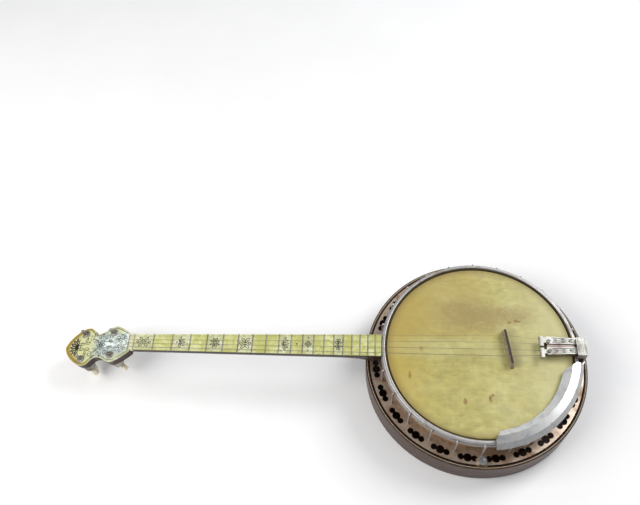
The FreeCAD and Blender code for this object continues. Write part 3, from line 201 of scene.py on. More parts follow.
def calfskin():
    """Aged skin: khaki with long fibres, clouds, a darker rim, a paler strip, a painted sheen that lightens
    the side towards the tail, and a few stains.
    """
    material, tree, shader = new_material("calfskin", Sheen_Weight=0.05)
    clouds = noise(tree, place(tree, (1, 1.6, 1)), 13, 7, 0.9)
    colour = ramp(tree, clouds, [(0.25, (0.33, 0.28, 0.07)), (0.5, (0.405, 0.365, 0.122)),
                                 (0.75, (0.47, 0.44, 0.19))])
    mottle = noise(tree, place(tree, (1, 1.5, 1)), 75, 8, 0.5)
    colour = mix(tree, 0.5, colour, ramp(tree, mottle, [(0.3, 0.36), (0.7, 0.66)]), "OVERLAY")
    fibres = noise(tree, place(tree, (30, 520, 30), rotation=(0, 0, 0.02)), 1, 5)
    colour = mix(tree, 0.2, colour, ramp(tree, fibres, [(0.25, 0.33), (0.75, 0.72)]), "OVERLAY")
    across = noise(tree, place(tree, (380, 22, 16)), 1, 4)
    colour = mix(tree, 0.07, colour, ramp(tree, across, [(0.3, 0.3), (0.7, 0.72)]), "OVERLAY")
    honey = spread(tree, along(tree, "X"), -0.045, -0.142)
    colour = mix(tree, compute(tree, "MULTIPLY", honey, 0.85), colour, (0.4, 0.29, 0.045))
    smoke = compute(tree, "MULTIPLY", spread(tree, along(tree, "Y"), 0.011, 0.024),
                    spread(tree, along(tree, "X"), 0.05, -0.02))
    colour = mix(tree, compute(tree, "MULTIPLY", smoke, 0.5), colour, (0.37, 0.27, 0.07))
    worn = spread(tree, compute(tree, "ABSOLUTE", along(tree, "Y")), 0.026, 0.006)
    colour = mix(tree, compute(tree, "MULTIPLY", worn, 0.24), colour, (0.5, 0.48, 0.24))
    # painted sheen: the skin is lightened towards +X, the tail side, where the key light's gloss falls
    pale = spread(tree, along(tree, "X"), 0.02, 0.13)
    colour = mix(tree, compute(tree, "MULTIPLY", pale, 0.5), colour, (0.56, 0.54, 0.3))
    torn = noise(tree, place(tree), 150, 6, 1.2)
    marks = ((SMUDGES, 0.0, 0.4, (0.26, 0.185, 0.06)), (STAINS, 0.1, 0.33, (0.19, 0.085, 0.01)))
    for spots, low, high, tone in marks:
        for spot, size, strength in spots:
            reach = compute(tree, "MULTIPLY", patch(tree, (*spot, head_high.z), (*size, 0.02)), torn)
            shape = spread(tree, reach, low, high)
            colour = mix(tree, compute(tree, "MULTIPLY", shape, strength), colour, tone)
    edge = spread(tree, patch(tree, (0, 0, head_high.z), (0.143, 0.143, 0.143)), 0.12, 0.0)
    colour = mix(tree, compute(tree, "MULTIPLY", edge, 0.6), colour, (0.2, 0.14, 0.04))
    link(tree, shader, Base_Color=colour)
    link(tree, shader, Roughness=ramp(tree, clouds, [(0.3, 0.42), (0.7, 0.58)]))
    pores = noise(tree, place(tree), 900, 3)
    bump(tree, shader, compute(tree, "ADD", pores, fibres), 0.16, 0.0003)
    return material


def pearloid(name, light, deep, accent):
    """Aged celluloid pearl: soft flakes that differ in brightness, under a clear skin."""
    material, tree, shader = new_material(name, Coat_Weight=0.35, Coat_Roughness=0.12)
    bent = add(tree, "TexNoise", {"Vector": place(tree), "Scale": 55.0, "Detail": 3.0}).outputs["Color"]
    wobble = add(tree, "VectorMath", {0: bent, 3: 0.012}, operation="SCALE").outputs[0]
    moved = add(tree, "VectorMath", {0: place(tree), 1: wobble}, operation="ADD").outputs[0]
    flakes = add(tree, "TexVoronoi", {"Vector": moved, "Scale": 210.0})
    shade = add(tree, "SeparateColor", {"Color": flakes.outputs["Color"]}).outputs[0]
    colour = ramp(tree, shade, [(0.0, deep), (0.55, light), (1.0, accent)])
    veil = noise(tree, place(tree), 26, 4, 0.6)
    colour = mix(tree, spread(tree, veil, 0.42, 0.68), colour, deep)
    link(tree, shader, Base_Color=colour)
    link(tree, shader, Roughness=ramp(tree, shade, [(0, 0.2), (1, 0.36)]))
    bump(tree, shader, veil, 0.08, 0.0004)
    return material, tree, shader, colour


def board_pearl():
    return pearloid("board_pearl", (0.54, 0.545, 0.21), (0.45, 0.45, 0.14), (0.64, 0.65, 0.36))[0]


def block_pearl():
    return pearloid("block_pearl", (0.56, 0.57, 0.335), (0.46, 0.47, 0.24), (0.68, 0.7, 0.5))[0]


def peghead_pearl():
    """Blue-white in the middle, honey yellow near the tip, the flanks and the nut."""
    material, tree, shader, colour = pearloid(
        "peghead_pearl", (0.57, 0.64, 0.58), (0.38, 0.45, 0.42), (0.8, 0.86, 0.85))
    clouds = noise(tree, place(tree), 42, 4, 0.6)
    tip = spread(tree, along(tree, "X"), -0.6, -0.628)
    flank = spread(tree, compute(tree, "ABSOLUTE", along(tree, "Y")), 0.012, 0.026)
    nut_side = spread(tree, along(tree, "X"), -0.566, -0.553)
    warm = compute(tree, "MAXIMUM", flank, nut_side)
    warm = compute(tree, "MULTIPLY", warm, spread(tree, clouds, 0.36, 0.6))
    colour = mix(tree, compute(tree, "MAXIMUM", tip, warm), colour, (0.55, 0.56, 0.27))
    link(tree, shader, Base_Color=colour)
    return material


def border_pearl():
    """The rim of the peghead: pale yellow that deepens to amber round the tip."""
    material, tree, shader, colour = pearloid(
        "border_pearl", (0.52, 0.53, 0.35), (0.41, 0.41, 0.22), (0.64, 0.66, 0.5))
    amber = spread(tree, along(tree, "X"), -0.606, -0.63)
    colour = mix(tree, amber, colour, (0.36, 0.25, 0.035))
    link(tree, shader, Base_Color=colour)
    return material


def nickel(name, tint, tarnish, polish, age):
    """Plated metal: cloudy polish, brown tarnish in patches, fine wipe marks."""
    material, tree, shader = new_material(name, Metallic=1.0)
    clouds = noise(tree, place(tree), 48, 6, 0.7)
    stain = spread(tree, clouds, 0.66 - 0.3 * age, 0.95 - 0.3 * age)
    colour = mix(tree, stain, tint, tarnish)
    specks = spread(tree, noise(tree, place(tree), 130, 4), 0.56, 0.8)
    grime = compute(tree, "MULTIPLY", specks, 0.6 * age)
    colour = mix(tree, grime, colour, tuple(0.5 * c for c in tarnish))
    link(tree, shader, Base_Color=colour)
    wear = ramp(tree, clouds, [(0.3, polish), (0.75, min(0.9, polish + 0.3 * age + 0.08))])
    link(tree, shader, Roughness=wear)
    wipes = noise(tree, place(tree, (260, 60, 60)), 1, 3)
    bump(tree, shader, wipes, 0.05 * age, 0.0002)
    return material, tree, shader, colour


def tail_metal():
    """Aged nickel silver, pinkish where it's low down between and under the arms."""
    material, tree, shader, colour = nickel(
        "tail_nickel", (0.53, 0.53, 0.49), (0.39, 0.355, 0.32), 0.42, 0.65)
    low = spread(tree, along(tree, "Z"), 0.1032, 0.1026)
    colour = mix(tree, compute(tree, "MULTIPLY", low, 0.8), colour, (0.24, 0.165, 0.145))
    link(tree, shader, Base_Color=colour)
    return material


def wood(name, dark, light, stretch, gloss):
    """Straight-grained wood under varnish, with its grain along the direction of least stretch."""
    material, tree, shader = new_material(name, Coat_Weight=gloss, Coat_Roughness=0.2,
                                          Specular_IOR_Level=0.3)
    vector = place(tree, stretch)
    grain = noise(tree, vector, 3.5, 8, 0.4)
    pores = noise(tree, vector, 30, 3)
    colour = ramp(tree, grain, [(0.3, dark), (0.52, tuple((a + b) / 2 for a, b in zip(dark, light))),
                                (0.7, light)])
    colour = mix(tree, 0.35, colour, ramp(tree, pores, [(0.35, 0.25), (0.65, 0.72)]), "OVERLAY")
    link(tree, shader, Base_Color=colour)
    link(tree, shader, Roughness=ramp(tree, pores, [(0.3, 0.5), (0.7, 0.34)]))
    bump(tree, shader, pores, 0.12, 0.0003)
    return material


BACK_RINGS = (  # radius, half width, tone of the rings inlaid in the back
    (0.151, 0.0013, (0.62, 0.48, 0.27)),
    (0.1485, 0.0008, (0.01, 0.008, 0.006)),
    (0.062, 0.0011, (0.62, 0.48, 0.27)),
)


def resonator_walnut():
    """Dark walnut with rings of light and dark stringing inlaid in the back."""
    material = wood("resonator_walnut", (0.018, 0.007, 0.004), (0.09, 0.033, 0.014), (9, 60, 60), 0.12)
    tree = material.node_tree
    shader = tree.nodes["Principled BSDF"]
    colour = shader.inputs["Base Color"].links[0].from_socket
    flat = add(tree, "VectorMath", {0: place(tree, (1, 1, 0))}, operation="LENGTH").outputs["Value"]
    under = add(tree, "Math", {0: along(tree, "Z"), 1: 0.0004}, operation="LESS_THAN").outputs[0]
    for radius, width, tone in BACK_RINGS:
        ring_mask = add(tree, "Math", {0: flat, 1: radius, 2: width}, operation="COMPARE").outputs[0]
        colour = mix(tree, compute(tree, "MULTIPLY", ring_mask, under), colour, tone)
    link(tree, shader, Base_Color=colour)
    return material


def bone(name, tint, shade, gloss):
    """Bone or aged cream plastic: faint streaks and a soft shine."""
    material, tree, shader = new_material(name, Subsurface_Weight=0.12, Subsurface_Scale=0.002,
                                          Coat_Weight=0.2)
    streaks = noise(tree, place(tree, (40, 300, 40)), 1, 5, 0.5)
    link(tree, shader, Base_Color=ramp(tree, streaks, [(0.3, shade), (0.65, tint)]))
    link(tree, shader, Roughness=ramp(tree, streaks, [(0.3, gloss + 0.12), (0.7, gloss)]))
    bump(tree, shader, streaks, 0.06, 0.0002)
    return material


def engraving(name, tone):
    """Pigment rubbed into engraved lines, a little uneven."""
    material, tree, shader = new_material(name)
    patches = noise(tree, place(tree), 160, 4)
    pale = tuple(1.8 * c + 0.012 for c in tone)
    link(tree, shader, Base_Color=ramp(tree, patches, [(0.35, tone), (0.7, pale)]))
    link(tree, shader, Roughness=ramp(tree, patches, [(0.3, 0.75), (0.7, 0.55)]))
    bump(tree, shader, patches, 0.2, 0.0002)
    return material


def wound_steel():
    """Steel wire with the fine turns of its winding."""
    material, tree, shader = new_material("wound_steel", Metallic=1.0)
    wave = add(tree, "TexWave", {"Vector": place(tree), "Scale": 700.0, "Distortion": 0.0},
               bands_direction="X").outputs["Fac"]
    stops = [(0.2, (0.17, 0.155, 0.12)), (0.8, (0.34, 0.32, 0.27))]
    link(tree, shader, Base_Color=ramp(tree, wave, stops))
    dust = noise(tree, place(tree), 120, 3)
    link(tree, shader, Roughness=ramp(tree, dust, [(0.3, 0.3), (0.7, 0.5)]))
    bump(tree, shader, wave, 0.3, 0.0001)
    return material


MATERIALS = {
    "calfskin": calfskin(),
    "board_pearl": board_pearl(),
    "block_pearl": block_pearl(),
    "peghead_pearl": peghead_pearl(),
    "border_pearl": border_pearl(),
    "hoop": nickel("hoop_nickel", (0.46, 0.445, 0.44), (0.33, 0.28, 0.23), 0.38, 0.6)[0],
    "flange": nickel("flange_nickel", (0.56, 0.46, 0.37), (0.32, 0.21, 0.14), 0.36, 0.85)[0],
    "armrest": nickel("armrest_nickel", (0.5, 0.505, 0.5), (0.36, 0.31, 0.26), 0.25, 0.45)[0],
    "tail": tail_metal(),
    "pegs": nickel("peg_nickel", (0.38, 0.37, 0.34), (0.2, 0.165, 0.12), 0.34, 0.8)[0],
    "steel": nickel("fret_silver", (0.3, 0.29, 0.25), (0.2, 0.17, 0.12), 0.42, 0.6)[0],
    "brass": nickel("worked_brass", (0.76, 0.56, 0.24), (0.42, 0.27, 0.1), 0.28, 0.5)[0],
    "strings": wound_steel(),
    "resonator": resonator_walnut(),
    "walnut": wood("neck_walnut", (0.014, 0.007, 0.005), (0.07, 0.031, 0.016), (8, 70, 70), 0.2),
    "maple": wood("rim_maple", (0.3, 0.17, 0.08), (0.55, 0.36, 0.19), (30, 30, 120), 0.25),
    "board_wood": wood("board_ebony", (0.012, 0.008, 0.006), (0.05, 0.03, 0.02), (8, 90, 90), 0.1),
    "bridge": wood("bridge_maple", (0.22, 0.17, 0.115), (0.4, 0.33, 0.24), (80, 12, 80), 0.05),
    "ebony": wood("bridge_ebony", (0.012, 0.009, 0.007), (0.05, 0.035, 0.028), (120, 16, 120), 0.1),
    "bone": bone("bone", (0.62, 0.62, 0.45), (0.48, 0.45, 0.28), 0.36),
    "cream": bone("button_cream", (0.84, 0.76, 0.56), (0.66, 0.54, 0.34), 0.24),
    "ink": engraving("engraved_ink", (0.02, 0.028, 0.028)),
    "umber": engraving("engraved_umber", (0.028, 0.016, 0.012)),
    "grey_ink": engraving("engraved_grey", (0.03, 0.032, 0.018)),
    "rust": engraving("engraved_rust", (0.04, 0.032, 0.026)),
}

NODE_LOOKS = {
    "rim_shell": "maple", "tone_ring": "brass", "head_skin": "calfskin", "flesh_hoop": "brass",
    "tension_hoop": "hoop", "tension_hooks": "hoop", "hook_nuts": "hoop", "flange": "flange",
    "resonator_back": "resonator", "resonator_side": "resonator", "resonator_lugs": "brass",
    "resonator_screws": "armrest", "neck": "walnut", "fingerboard": "board_wood", "frets": "steel",
    "pearloid_sheet": "board_pearl", "peghead_overlay": "peghead_pearl", "nut": "bone",
    "dowel_stick": "maple", "neck_brace": "steel", "bridge_body": "bridge", "bridge_cap": "ebony",
    "tailpiece_bracket": "tail", "tailpiece_hinge_pin": "steel", "end_bolt": "steel",
    "armrest": "armrest", "armrest_clamps": "armrest", "peg_housings": "pegs", "peg_covers": "pegs",
    "peg_bushings": "pegs", "strings": "strings", "tailpiece_arm": "tail", "tailpiece_screw": "steel",
    "button": "cream", "sun_gear": "brass", "post": "pegs", "planet": "brass",
}


def dress(node, look):
    """Give a CAD node its material."""
    slots = node.data.materials
    slots.clear()
    slots.append(MATERIALS[look])


for node_name, node_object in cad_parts.items():
    family = node_name if node_name in NODE_LOOKS else node_name.rsplit("_", 1)[0]
    dress(node_object, NODE_LOOKS[family])


# ---------------------------------------------------------------------------------------------
# Mesh tools
# ---------------------------------------------------------------------------------------------
LATHE_STEPS = 180
LEAF_STEPS = 10


def piece(name, vertices, faces, look, body=ROOT, smooth=True):
    """A mesh object in the row frame that rides on a body."""
    mesh = bpy.data.meshes.new(name)
    mesh.from_pydata([tuple(v) for v in vertices], [], faces)
    mesh.validate()
    mesh.materials.append(MATERIALS[look])
    mesh.shade_smooth() if smooth else mesh.shade_flat()
    made = bpy.data.objects.new(name, mesh)
    bpy.context.scene.collection.objects.link(made)
    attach(made, body)
    return made


def lathe(name, profile, look):
    """A closed profile of (radius, height) turned about the pot's axis."""
    vertices, faces, count = [], [], len(profile)
    for step in range(LATHE_STEPS):
        turn = 2 * math.pi * step / LATHE_STEPS
        vertices += [(r * math.cos(turn), r * math.sin(turn), z) for r, z in profile]
        for index in range(count):
            after = (step + 1) % LATHE_STEPS * count
            here, beside = step * count + index, step * count + (index + 1) % count
            faces.append((here, beside, after + (index + 1) % count, after + index))
    return piece(name, vertices, faces, look)


def ring_profile(radius, height, thick, points=12):
    """A round section of a ring."""
    turns = [2 * math.pi * k / points for k in range(points)]
    return [(radius + thick * math.cos(t), height + thick * math.sin(t)) for t in turns]


def stroke(path, width, closed=False):
    """A flat band along a path of (x, y) points: its vertices and faces, narrow at open ends."""
    vertices, faces, count = [], [], len(path)
    for index, (x, y) in enumerate(path):
        before = path[index - 1] if closed or index else path[0]
        after = path[(index + 1) % count] if closed or index < count - 1 else path[-1]
        dx, dy = after[0] - before[0], after[1] - before[1]
        length = math.hypot(dx, dy) or 1
        ends = 1 if closed else min(1, 0.3 + 3 * min(index, count - 1 - index) / count)
        reach = width / 2 * ends
        vertices.append((x - dy / length * reach, y + dx / length * reach))
        vertices.append((x + dy / length * reach, y - dx / length * reach))
    for index in range(count if closed else count - 1):
        low, high = 2 * index, 2 * ((index + 1) % count)
        faces.append((low, low + 1, high + 1, high))
    return vertices, faces


def engrave(name, strokes, plane, lift, look, body=ROOT):
    """Strokes laid on a plane as thin lines."""
    vertices, faces = [], []
    for flat, quads in strokes:
        start = len(vertices)
        vertices += [plane @ Vector((x, y, lift)) for x, y in flat]
        faces += [tuple(start + index for index in quad) for quad in quads]
    return piece(name, vertices, faces, look, body, smooth=False)


def plate(name, outlines, plane, lift, look):
    """Thin flat inlays with these outlines on a plane."""
    vertices, faces = [], []
    for outline in outlines:
        start = len(vertices)
        vertices += [plane @ Vector((x, y, lift)) for x, y in outline]
        faces.append(tuple(range(start, start + len(outline))))
    return piece(name, vertices, faces, look, smooth=False)


def spiral(centre, start, end, first, sweep, steps=26):
    """A scroll that winds from one radius to another."""
    path = []
    for step in range(steps + 1):
        part = step / steps
        radius = start + (end - start) * part ** 0.8
        turn = math.radians(first + sweep * part)
        path.append((centre[0] + radius * math.cos(turn), centre[1] + radius * math.sin(turn)))
    return path


def ring(centre, radius):
    return spiral(centre, radius, radius, 0, 360, 14)


def leaf(centre, length, width, angle):
    """The closed outline of a pointed leaf."""
    turn = math.radians(angle)
    path = []
    for side in (1, -1):
        for step in range(LEAF_STEPS):
            part = step / LEAF_STEPS if side == 1 else 1 - step / LEAF_STEPS
            x = (part - 0.5) * length
            y = side * width / 2 * math.sin(math.pi * part) ** 0.8
            path.append((centre[0] + x * math.cos(turn) - y * math.sin(turn),
                         centre[1] + x * math.sin(turn) + y * math.cos(turn)))
    return path


def bow(first, middle, last, steps=14):
    """A curved line through a quadratic Bezier's three points."""
    path = []
    for step in range(steps + 1):
        t = step / steps
        path.append(tuple((1 - t) ** 2 * a + 2 * t * (1 - t) * b + t * t * c
                          for a, b, c in zip(first, middle, last)))
    return path


def mirrored(path):
    return [(x, -y) for x, y in path]


# ---------------------------------------------------------------------------------------------
# Fingerboard inlays
# ---------------------------------------------------------------------------------------------
BLOCK_SPACES = (1, 3, 5, 7, 10, 15)
DIAMOND_SPACE = 12
DOT_SPACE = 11
INLAY_LIFT = 0.03 * MM
LINE_LIFT = 0.06 * MM


def space_middle(space):
    return (fret_at(space - 1) + fret_at(space)) / 2


def clipped_block(x, half_long, half_wide, corner):
    """A rectangle with cut corners."""
    spots = []
    for sx, sy in ((1, 1), (-1, 1), (-1, -1), (1, -1)):
        near = (x + sx * (half_long - corner), sy * half_wide)
        far = (x + sx * half_long, sy * (half_wide - corner))
        spots += [far, near] if sx * sy > 0 else [near, far]
    return spots


def spray(x, reach, wide):
    """Two pairs of leaves on a bent stem, with a bud at each end."""
    paths = [bow((x - reach, -wide * 0.3), (x, wide * 0.5), (x + reach, -wide * 0.3), 12)]
    for way in (-1, 1):
        for side in (-1, 1):
            centre = (x + way * reach * 0.42, side * wide * 0.5)
            paths.append(leaf(centre, wide, wide * 0.4, way * side * 48 + 90 - 90 * way))
        paths.append(leaf((x + way * reach, 0), wide * 0.5, wide * 0.36, 0))
    return paths


def fan(x, reach, wide):
    """Five leaves that open towards the tail from a small ring."""
    paths = [ring((x - 0.72 * reach, 0), wide * 0.14)]
    for blade in range(-2, 3):
        turn = math.radians(blade * 33)
        centre = (x - 0.5 * reach + 0.72 * reach * math.cos(turn), 0.684 * wide * math.sin(turn))
        paths.append(leaf(centre, wide * 0.95, wide * 0.26, blade * 33))
    return paths


def star(x, reach, wide):
    """Eight petals, longer along the board, round a small ring."""
    paths = [ring((x, 0), wide * 0.16)]
    for petal in range(8):
        turn = math.radians(petal * 45 + 22.5)
        centre = (x + 0.62 * reach * math.cos(turn), 0.6 * wide * math.sin(turn))
        paths.append(leaf(centre, wide * 0.62, wide * 0.24, petal * 45 + 22.5))
    return paths


def make_board_inlays():
    """Pale blocks between frets with engraved leaves, fans or stars, one lozenge and one dot."""
    outlines, lines = [], []
    for number, space in enumerate(BLOCK_SPACES):
        x = space_middle(space)
        half_long = (fret_at(space) - fret_at(space - 1)) / 2 - 1.0 * MM
        half_wide = board_half(x) * 0.95
        outlines.append(clipped_block(x, half_long, half_wide, 0.6 * MM))
        reach = min(half_long * 0.66, 9.5 * MM)
        motif = (spray, fan, star)[number % 3]
        for path in motif(x, reach, half_wide * 0.7):
            lines.append(stroke(path, 1.05 * MM, closed=len(path) > 15))
    x = space_middle(DIAMOND_SPACE)
    outlines.append(clipped_block(x, (fret_at(DIAMOND_SPACE) - fret_at(DIAMOND_SPACE - 1)) / 2 - MM,
                                  board_half(x) * 0.95, 0.6 * MM))
    for reach in (5.6 * MM, 3.6 * MM, 1.4 * MM):
        lozenge = [(x + reach, 0), (x, reach), (x - reach, 0), (x, -reach)]
        lines.append(stroke(lozenge, 1.4 * MM, True))
    for y in (-11 * MM, 11 * MM):
        lines.append(stroke(leaf((x, y), 3 * MM, 1.6 * MM, 90), 0.9 * MM, True))
    lines.append(stroke(ring((space_middle(DOT_SPACE), 0), 0.7 * MM), 1.4 * MM, True))
    plate("board_blocks", outlines, BOARD, INLAY_LIFT, "block_pearl")
    engrave("board_engraving", lines, BOARD, LINE_LIFT, "grey_ink")


# ---------------------------------------------------------------------------------------------
# Peghead ornament
# ---------------------------------------------------------------------------------------------
def top_outline(node, plane):
    """The longest boundary loop of a node's upper face, in the plane's own coordinates."""
    back = plane.inverted()
    shape = bmesh.new()
    shape.from_mesh(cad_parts[node].data)
    shape.transform(back)
    top = max(v.co.z for v in shape.verts)
    lower = [f for f in shape.faces if f.calc_center_median().z < top - 1e-5 or f.normal.z < 0.9]
    bmesh.ops.delete(shape, geom=lower, context="FACES")
    bmesh.ops.remove_doubles(shape, verts=shape.verts, dist=1e-6)
    loops, seen = [], set()
    for edge in shape.edges:
        if not edge.is_boundary or edge in seen:
            continue
        loop, vertex, here = [], edge.verts[0], edge
        while here not in seen:
            seen.add(here)
            loop.append((vertex.co.x, vertex.co.y))
            vertex = here.other_vert(vertex)
            following = [e for e in vertex.link_edges if e.is_boundary and e not in seen]
            if not following:
                break
            here = following[0]
        loops.append(loop)
    shape.free()
    return max(loops, key=lambda loop: max(x for x, _ in loop) - min(x for x, _ in loop))


def inset(loop, distance):
    """The loop moved inwards."""
    area = sum(a[0] * b[1] - b[0] * a[1] for a, b in zip(loop, loop[1:] + loop[:1]))
    side = 1 if area > 0 else -1
    moved = []
    for index, (x, y) in enumerate(loop):
        before, after = loop[index - 2], loop[(index + 2) % len(loop)]
        dx, dy = after[0] - before[0], after[1] - before[1]
        length = math.hypot(dx, dy) or 1
        moved.append((x - side * dy / length * distance, y + side * dx / length * distance))
    return moved


VINE_SCROLLS = (  # centre, outer radius, inner radius, first angle, sweep; in mm and degrees
    ((-29, 8.6), 5.6, 1.0, 200, -430), ((-51, 12.5), 6.8, 1.2, -60, 440), ((-78, 14.5), 5.4, 1.0, 240, -410),
    ((-104, 12.5), 5.6, 1.0, 60, 390), ((-17, 8.6), 3.6, 0.8, 20, 400), ((-64, 13.8), 3.2, 0.8, 120, 380),
)
VINE_LEAVES = (  # centre, length, width, angle
    ((-22, 12.5), 9, 4.2, 130), ((-25, 3.0), 8, 3.4, 165), ((-40, 16), 9, 4, 60), ((-43, 5), 9, 3.6, 150),
    ((-59, 17), 8, 3.6, 110), ((-71, 7), 9, 3.6, 25), ((-73, 19), 8, 3.6, 140), ((-86, 5), 10, 4.4, 15),
    ((-89, 11), 9, 3.6, 70), ((-90, 20), 9, 4, 120), ((-96, 4.5), 9, 4.4, 160), ((-98, 20), 7, 3.4, 100),
)
VINE_STEMS = (  # first, middle and last points of the stems' curves, in mm
    ((-12, 0), (-24, 12), (-38, 6)), ((-38, 6), (-47, 1), (-58, 9)),
    ((-64, 4), (-72, 15), (-82, 9)), ((-82, 9), (-92, 3), (-101, 8)),
)
VINE_LINE = 1.05 * MM
ROSETTE_AT = -61 * MM
PALMETTE_AT = -103 * MM
TIP_FROM = -92 * MM


def vine_paths():
    """Scrolls, veined leaves and stems of the treble half, as open and closed paths."""
    paths = []
    for (x, y), outer, inner, first, sweep in VINE_SCROLLS:
        paths.append(spiral((x * MM, y * MM), outer * MM, inner * MM, first, sweep))
    for (x, y), long, wide, angle in VINE_LEAVES:
        edge = leaf((x * MM, y * MM), long * MM, wide * MM, angle)
        turn = math.radians(angle)
        vein = long * MM * 0.42
        paths.append(edge + edge[:1])
        paths.append([(x * MM - vein * math.cos(turn), y * MM - vein * math.sin(turn)),
                      (x * MM + vein * math.cos(turn), y * MM + vein * math.sin(turn))])
    for stem in VINE_STEMS:
        paths.append(bow(*[(x * MM, y * MM) for x, y in stem]))
    return paths


def make_peghead_ornament():
    """A bound rim, and inside it a vine with scrolls, leaves, a rosette and a palmette at the tip."""
    outline = top_outline("peghead_overlay", PEGHEAD)
    engrave("peghead_rim", [stroke(inset(outline, 1.5 * MM), 2.6 * MM, True)], PEGHEAD, INLAY_LIFT,
            "border_pearl")
    tip = [spot for spot in inset(outline, 4.9 * MM) if spot[0] < TIP_FROM]
    start = max(range(len(tip)), key=lambda k: math.dist(tip[k], tip[k - 1]))  # where the loop was cut
    engrave("peghead_tip", [stroke(tip[start:] + tip[:start], 4.4 * MM)], PEGHEAD, INLAY_LIFT,
            "border_pearl")
    border = [stroke(inset(outline, 3.2 * MM), 0.9 * MM, True)]
    engrave("peghead_border", border, PEGHEAD, LINE_LIFT, "grey_ink")

    paths = vine_paths()
    lines = [stroke(path, VINE_LINE) for path in paths]
    lines += [stroke(mirrored(path), VINE_LINE) for path in paths]
    for petal in range(8):
        turn = math.radians(petal * 45)
        centre = (ROSETTE_AT + 5.2 * MM * math.cos(turn), 5.2 * MM * math.sin(turn))
        lines.append(stroke(leaf(centre, 6.6 * MM, 3 * MM, petal * 45), VINE_LINE, True))
    lines.append(stroke(ring((ROSETTE_AT, 0), 1.5 * MM), 1.1 * MM, True))
    engrave("peghead_engraving", lines, PEGHEAD, LINE_LIFT, "ink")

    palmette = []
    for blade in range(-3, 4):
        angle = 180 - blade * 24
        turn = math.radians(angle)
        centre = (PALMETTE_AT + 8.5 * MM * math.cos(turn), 8.5 * MM * math.sin(turn))
        palmette.append(stroke(leaf(centre, 15 * MM, 3.4 * MM, angle), 2.1 * MM, True))
    palmette.append(stroke(ring((PALMETTE_AT + 2 * MM, 0), 2.6 * MM), 1.6 * MM, True))
    engrave("peghead_palmette", palmette, PEGHEAD, LINE_LIFT + 0.01 * MM, "umber")


# ---------------------------------------------------------------------------------------------
# Tailpiece ornament
# ---------------------------------------------------------------------------------------------
PANEL_TOP = 103.1 * MM
ARM_PANELS = {  # middle and half width at the front and the rear of each sunk panel
    "treble": ((11.9 * MM, 4.5 * MM), (10.8 * MM, 3.4 * MM)),
    "bass": ((-5.8 * MM, 4.6 * MM), (-4.4 * MM, 3.8 * MM)),
}
PANEL_FRONT, PANEL_REAR = 107.6 * MM, 142.6 * MM


def make_arm_ornament(side):
    """A double lozenge between two sprays of three lines, in a border that follows the panel."""
    (front_y, front_half), (rear_y, rear_half) = ARM_PANELS[side]

    def spot(along_panel, across):
        """A point of the panel: 0 at its front to 1 at its rear, and -1 to 1 across."""
        x = PANEL_FRONT + (PANEL_REAR - PANEL_FRONT) * along_panel
        middle = front_y + (rear_y - front_y) * along_panel
        return x, middle + (front_half + (rear_half - front_half) * along_panel) * across

    corners = [spot(0.03, -0.85), spot(0.97, -0.85), spot(0.97, 0.85), spot(0.03, 0.85)]
    lines = [stroke(corners, 0.8 * MM, True)]
    for scale in (1, 0.4):
        long, wide = 0.2 * scale, 0.62 * scale
        lozenge = [spot(0.5 + long, 0), spot(0.5, wide), spot(0.5 - long, 0), spot(0.5, -wide)]
        lines.append(stroke(lozenge, 1.1 * MM, True))
    for way in (-1, 1):
        for across in (-0.45, 0, 0.45):
            near, far = spot(0.5 + way * 0.22, across * 0.35), spot(0.5 + way * 0.43, across)
            lines.append(stroke(bow(near, spot(0.5 + way * 0.34, across * 1.3), far), 1.15 * MM))
    plane = Matrix.Translation((0, 0, PANEL_TOP))
    engrave(f"arm_engraving_{side}", lines, plane, INLAY_LIFT, "rust", f"arm_{side}")


def make_cover_frame():
    """A double border and a field of small rings on the cover of the tailpiece hinge."""
    low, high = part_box("tailpiece_bracket")
    plane = Matrix.Translation((high.x - 7.2 * MM, (low.y + high.y) / 2, high.z))
    lines = []
    for half_long, half_wide, width in ((5.8, 12.6, 0.8), (4.5, 11.3, 0.45)):
        x, y = half_long * MM, half_wide * MM
        lines.append(stroke([(x, y), (-x, y), (-x, -y), (x, -y)], width * MM, True))
    for row in range(4):
        for column in range(9):
            x, y = (row - 1.5) * 2.2 * MM, (column - 4) * 2.4 * MM
            lines.append(stroke(ring((x, y), 0.5 * MM), 0.35 * MM, True))
    engrave("cover_engraving", lines, plane, INLAY_LIFT - 0.02 * MM, "rust")


# ---------------------------------------------------------------------------------------------
# Edges of the head and stringing of the resonator
# ---------------------------------------------------------------------------------------------
def make_pot_details():
    """The skin's turned-up edge in the gap inside the hoop, and the bead that shows through it."""
    gap = (head_high.x + HOOP_BORE) / 2
    lathe("skin_tuck", ring_profile(gap, hoop_low.z + 1.6 * MM, 1.2 * MM), "calfskin")
    bead = head_high.x - 2.4 * MM
    lathe("head_bead", ring_profile(bead, head_high.z - 0.35 * MM, 0.8 * MM), "calfskin")
    side_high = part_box("resonator_side")[1]
    lathe("side_stringing", ring_profile(side_high.x - 2.5 * MM, side_high.z - 0.25 * MM, 0.45 * MM, 8),
          "bone")


make_board_inlays()
make_peghead_ornament()
for arm_side in ("treble", "bass"):
    make_arm_ornament(arm_side)
make_cover_frame()
make_pot_details()


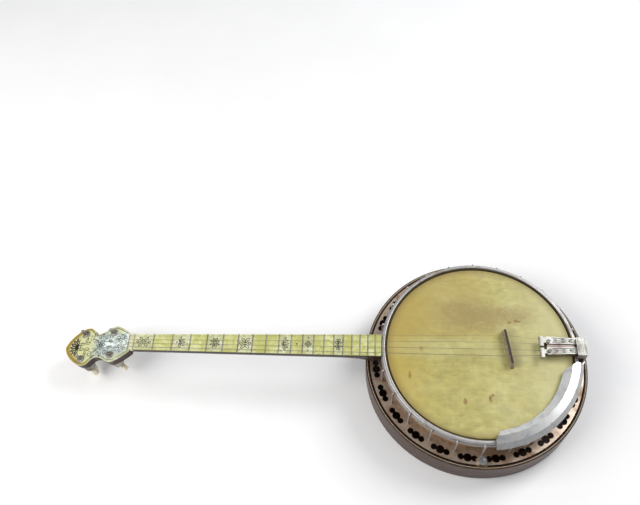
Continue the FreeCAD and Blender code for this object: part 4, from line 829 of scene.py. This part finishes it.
# ---------------------------------------------------------------------------------------------
# Floor, light and camera
# ---------------------------------------------------------------------------------------------
def make_floor():
    """A wide pale floor just under the resonator."""
    mesh = bpy.data.meshes.new("floor")
    reach = 6.0
    corners = [(-reach, -reach, 0), (reach, -reach, 0), (reach, reach, 0), (-reach, reach, 0)]
    mesh.from_pydata(corners, [], [(0, 1, 2, 3)])
    material, tree, shader = new_material("floor", Roughness=0.9)
    grain = noise(tree, place(tree), 6, 3)
    link(tree, shader, Base_Color=ramp(tree, grain, [(0.3, 0.84), (0.7, 0.87)]))
    mesh.materials.append(material)
    floor = bpy.data.objects.new("floor", mesh)
    bpy.context.scene.collection.objects.link(floor)
    floor.location.z = -0.0002


def area_light(name, spot, target, size, power, colour=(1, 1, 1)):
    light = bpy.data.lights.new(name, "AREA")
    light.shape = "RECTANGLE"
    light.size, light.size_y = size
    light.energy = power
    light.color = colour
    made = bpy.data.objects.new(name, light)
    made.location = spot
    made.rotation_euler = (Vector(target) - Vector(spot)).to_track_quat("-Z", "Y").to_euler()
    bpy.context.scene.collection.objects.link(made)


def make_light():
    """Soft studio light: a wide key from the tail end, a fill from the neck end, even surroundings."""
    world = bpy.data.worlds.new("studio")
    world.use_nodes = True
    surround = world.node_tree.nodes["Background"]
    surround.inputs["Color"].default_value = (0.88, 0.9, 0.94, 1)
    surround.inputs["Strength"].default_value = 0.45
    bpy.context.scene.world = world
    area_light("key", (1.2, 0.85, 1.55), (0.0, 0, 0.05), (1.0, 1.0), 29)
    area_light("fill", (-1.5, -0.4, 1.4), (-0.4, 0, 0), (1.4, 1.2), 28, (1, 0.98, 0.95))


def make_camera():
    """A viewpoint above the bass side that looks down at about 58 degrees."""
    data = bpy.data.cameras.new("camera")
    data.lens = 40.91
    data.sensor_width = 36
    data.clip_start, data.clip_end = 0.02, 50
    camera = bpy.data.objects.new("camera", data)
    camera.location = (-0.1728, -0.4803, 1.1265)
    camera.rotation_euler = (0.5619, 0.04572, 0.0514)
    bpy.context.scene.collection.objects.link(camera)
    bpy.context.scene.camera = camera


make_floor()
make_light()
make_camera()
bpy.context.scene.view_settings.view_transform = "Standard"
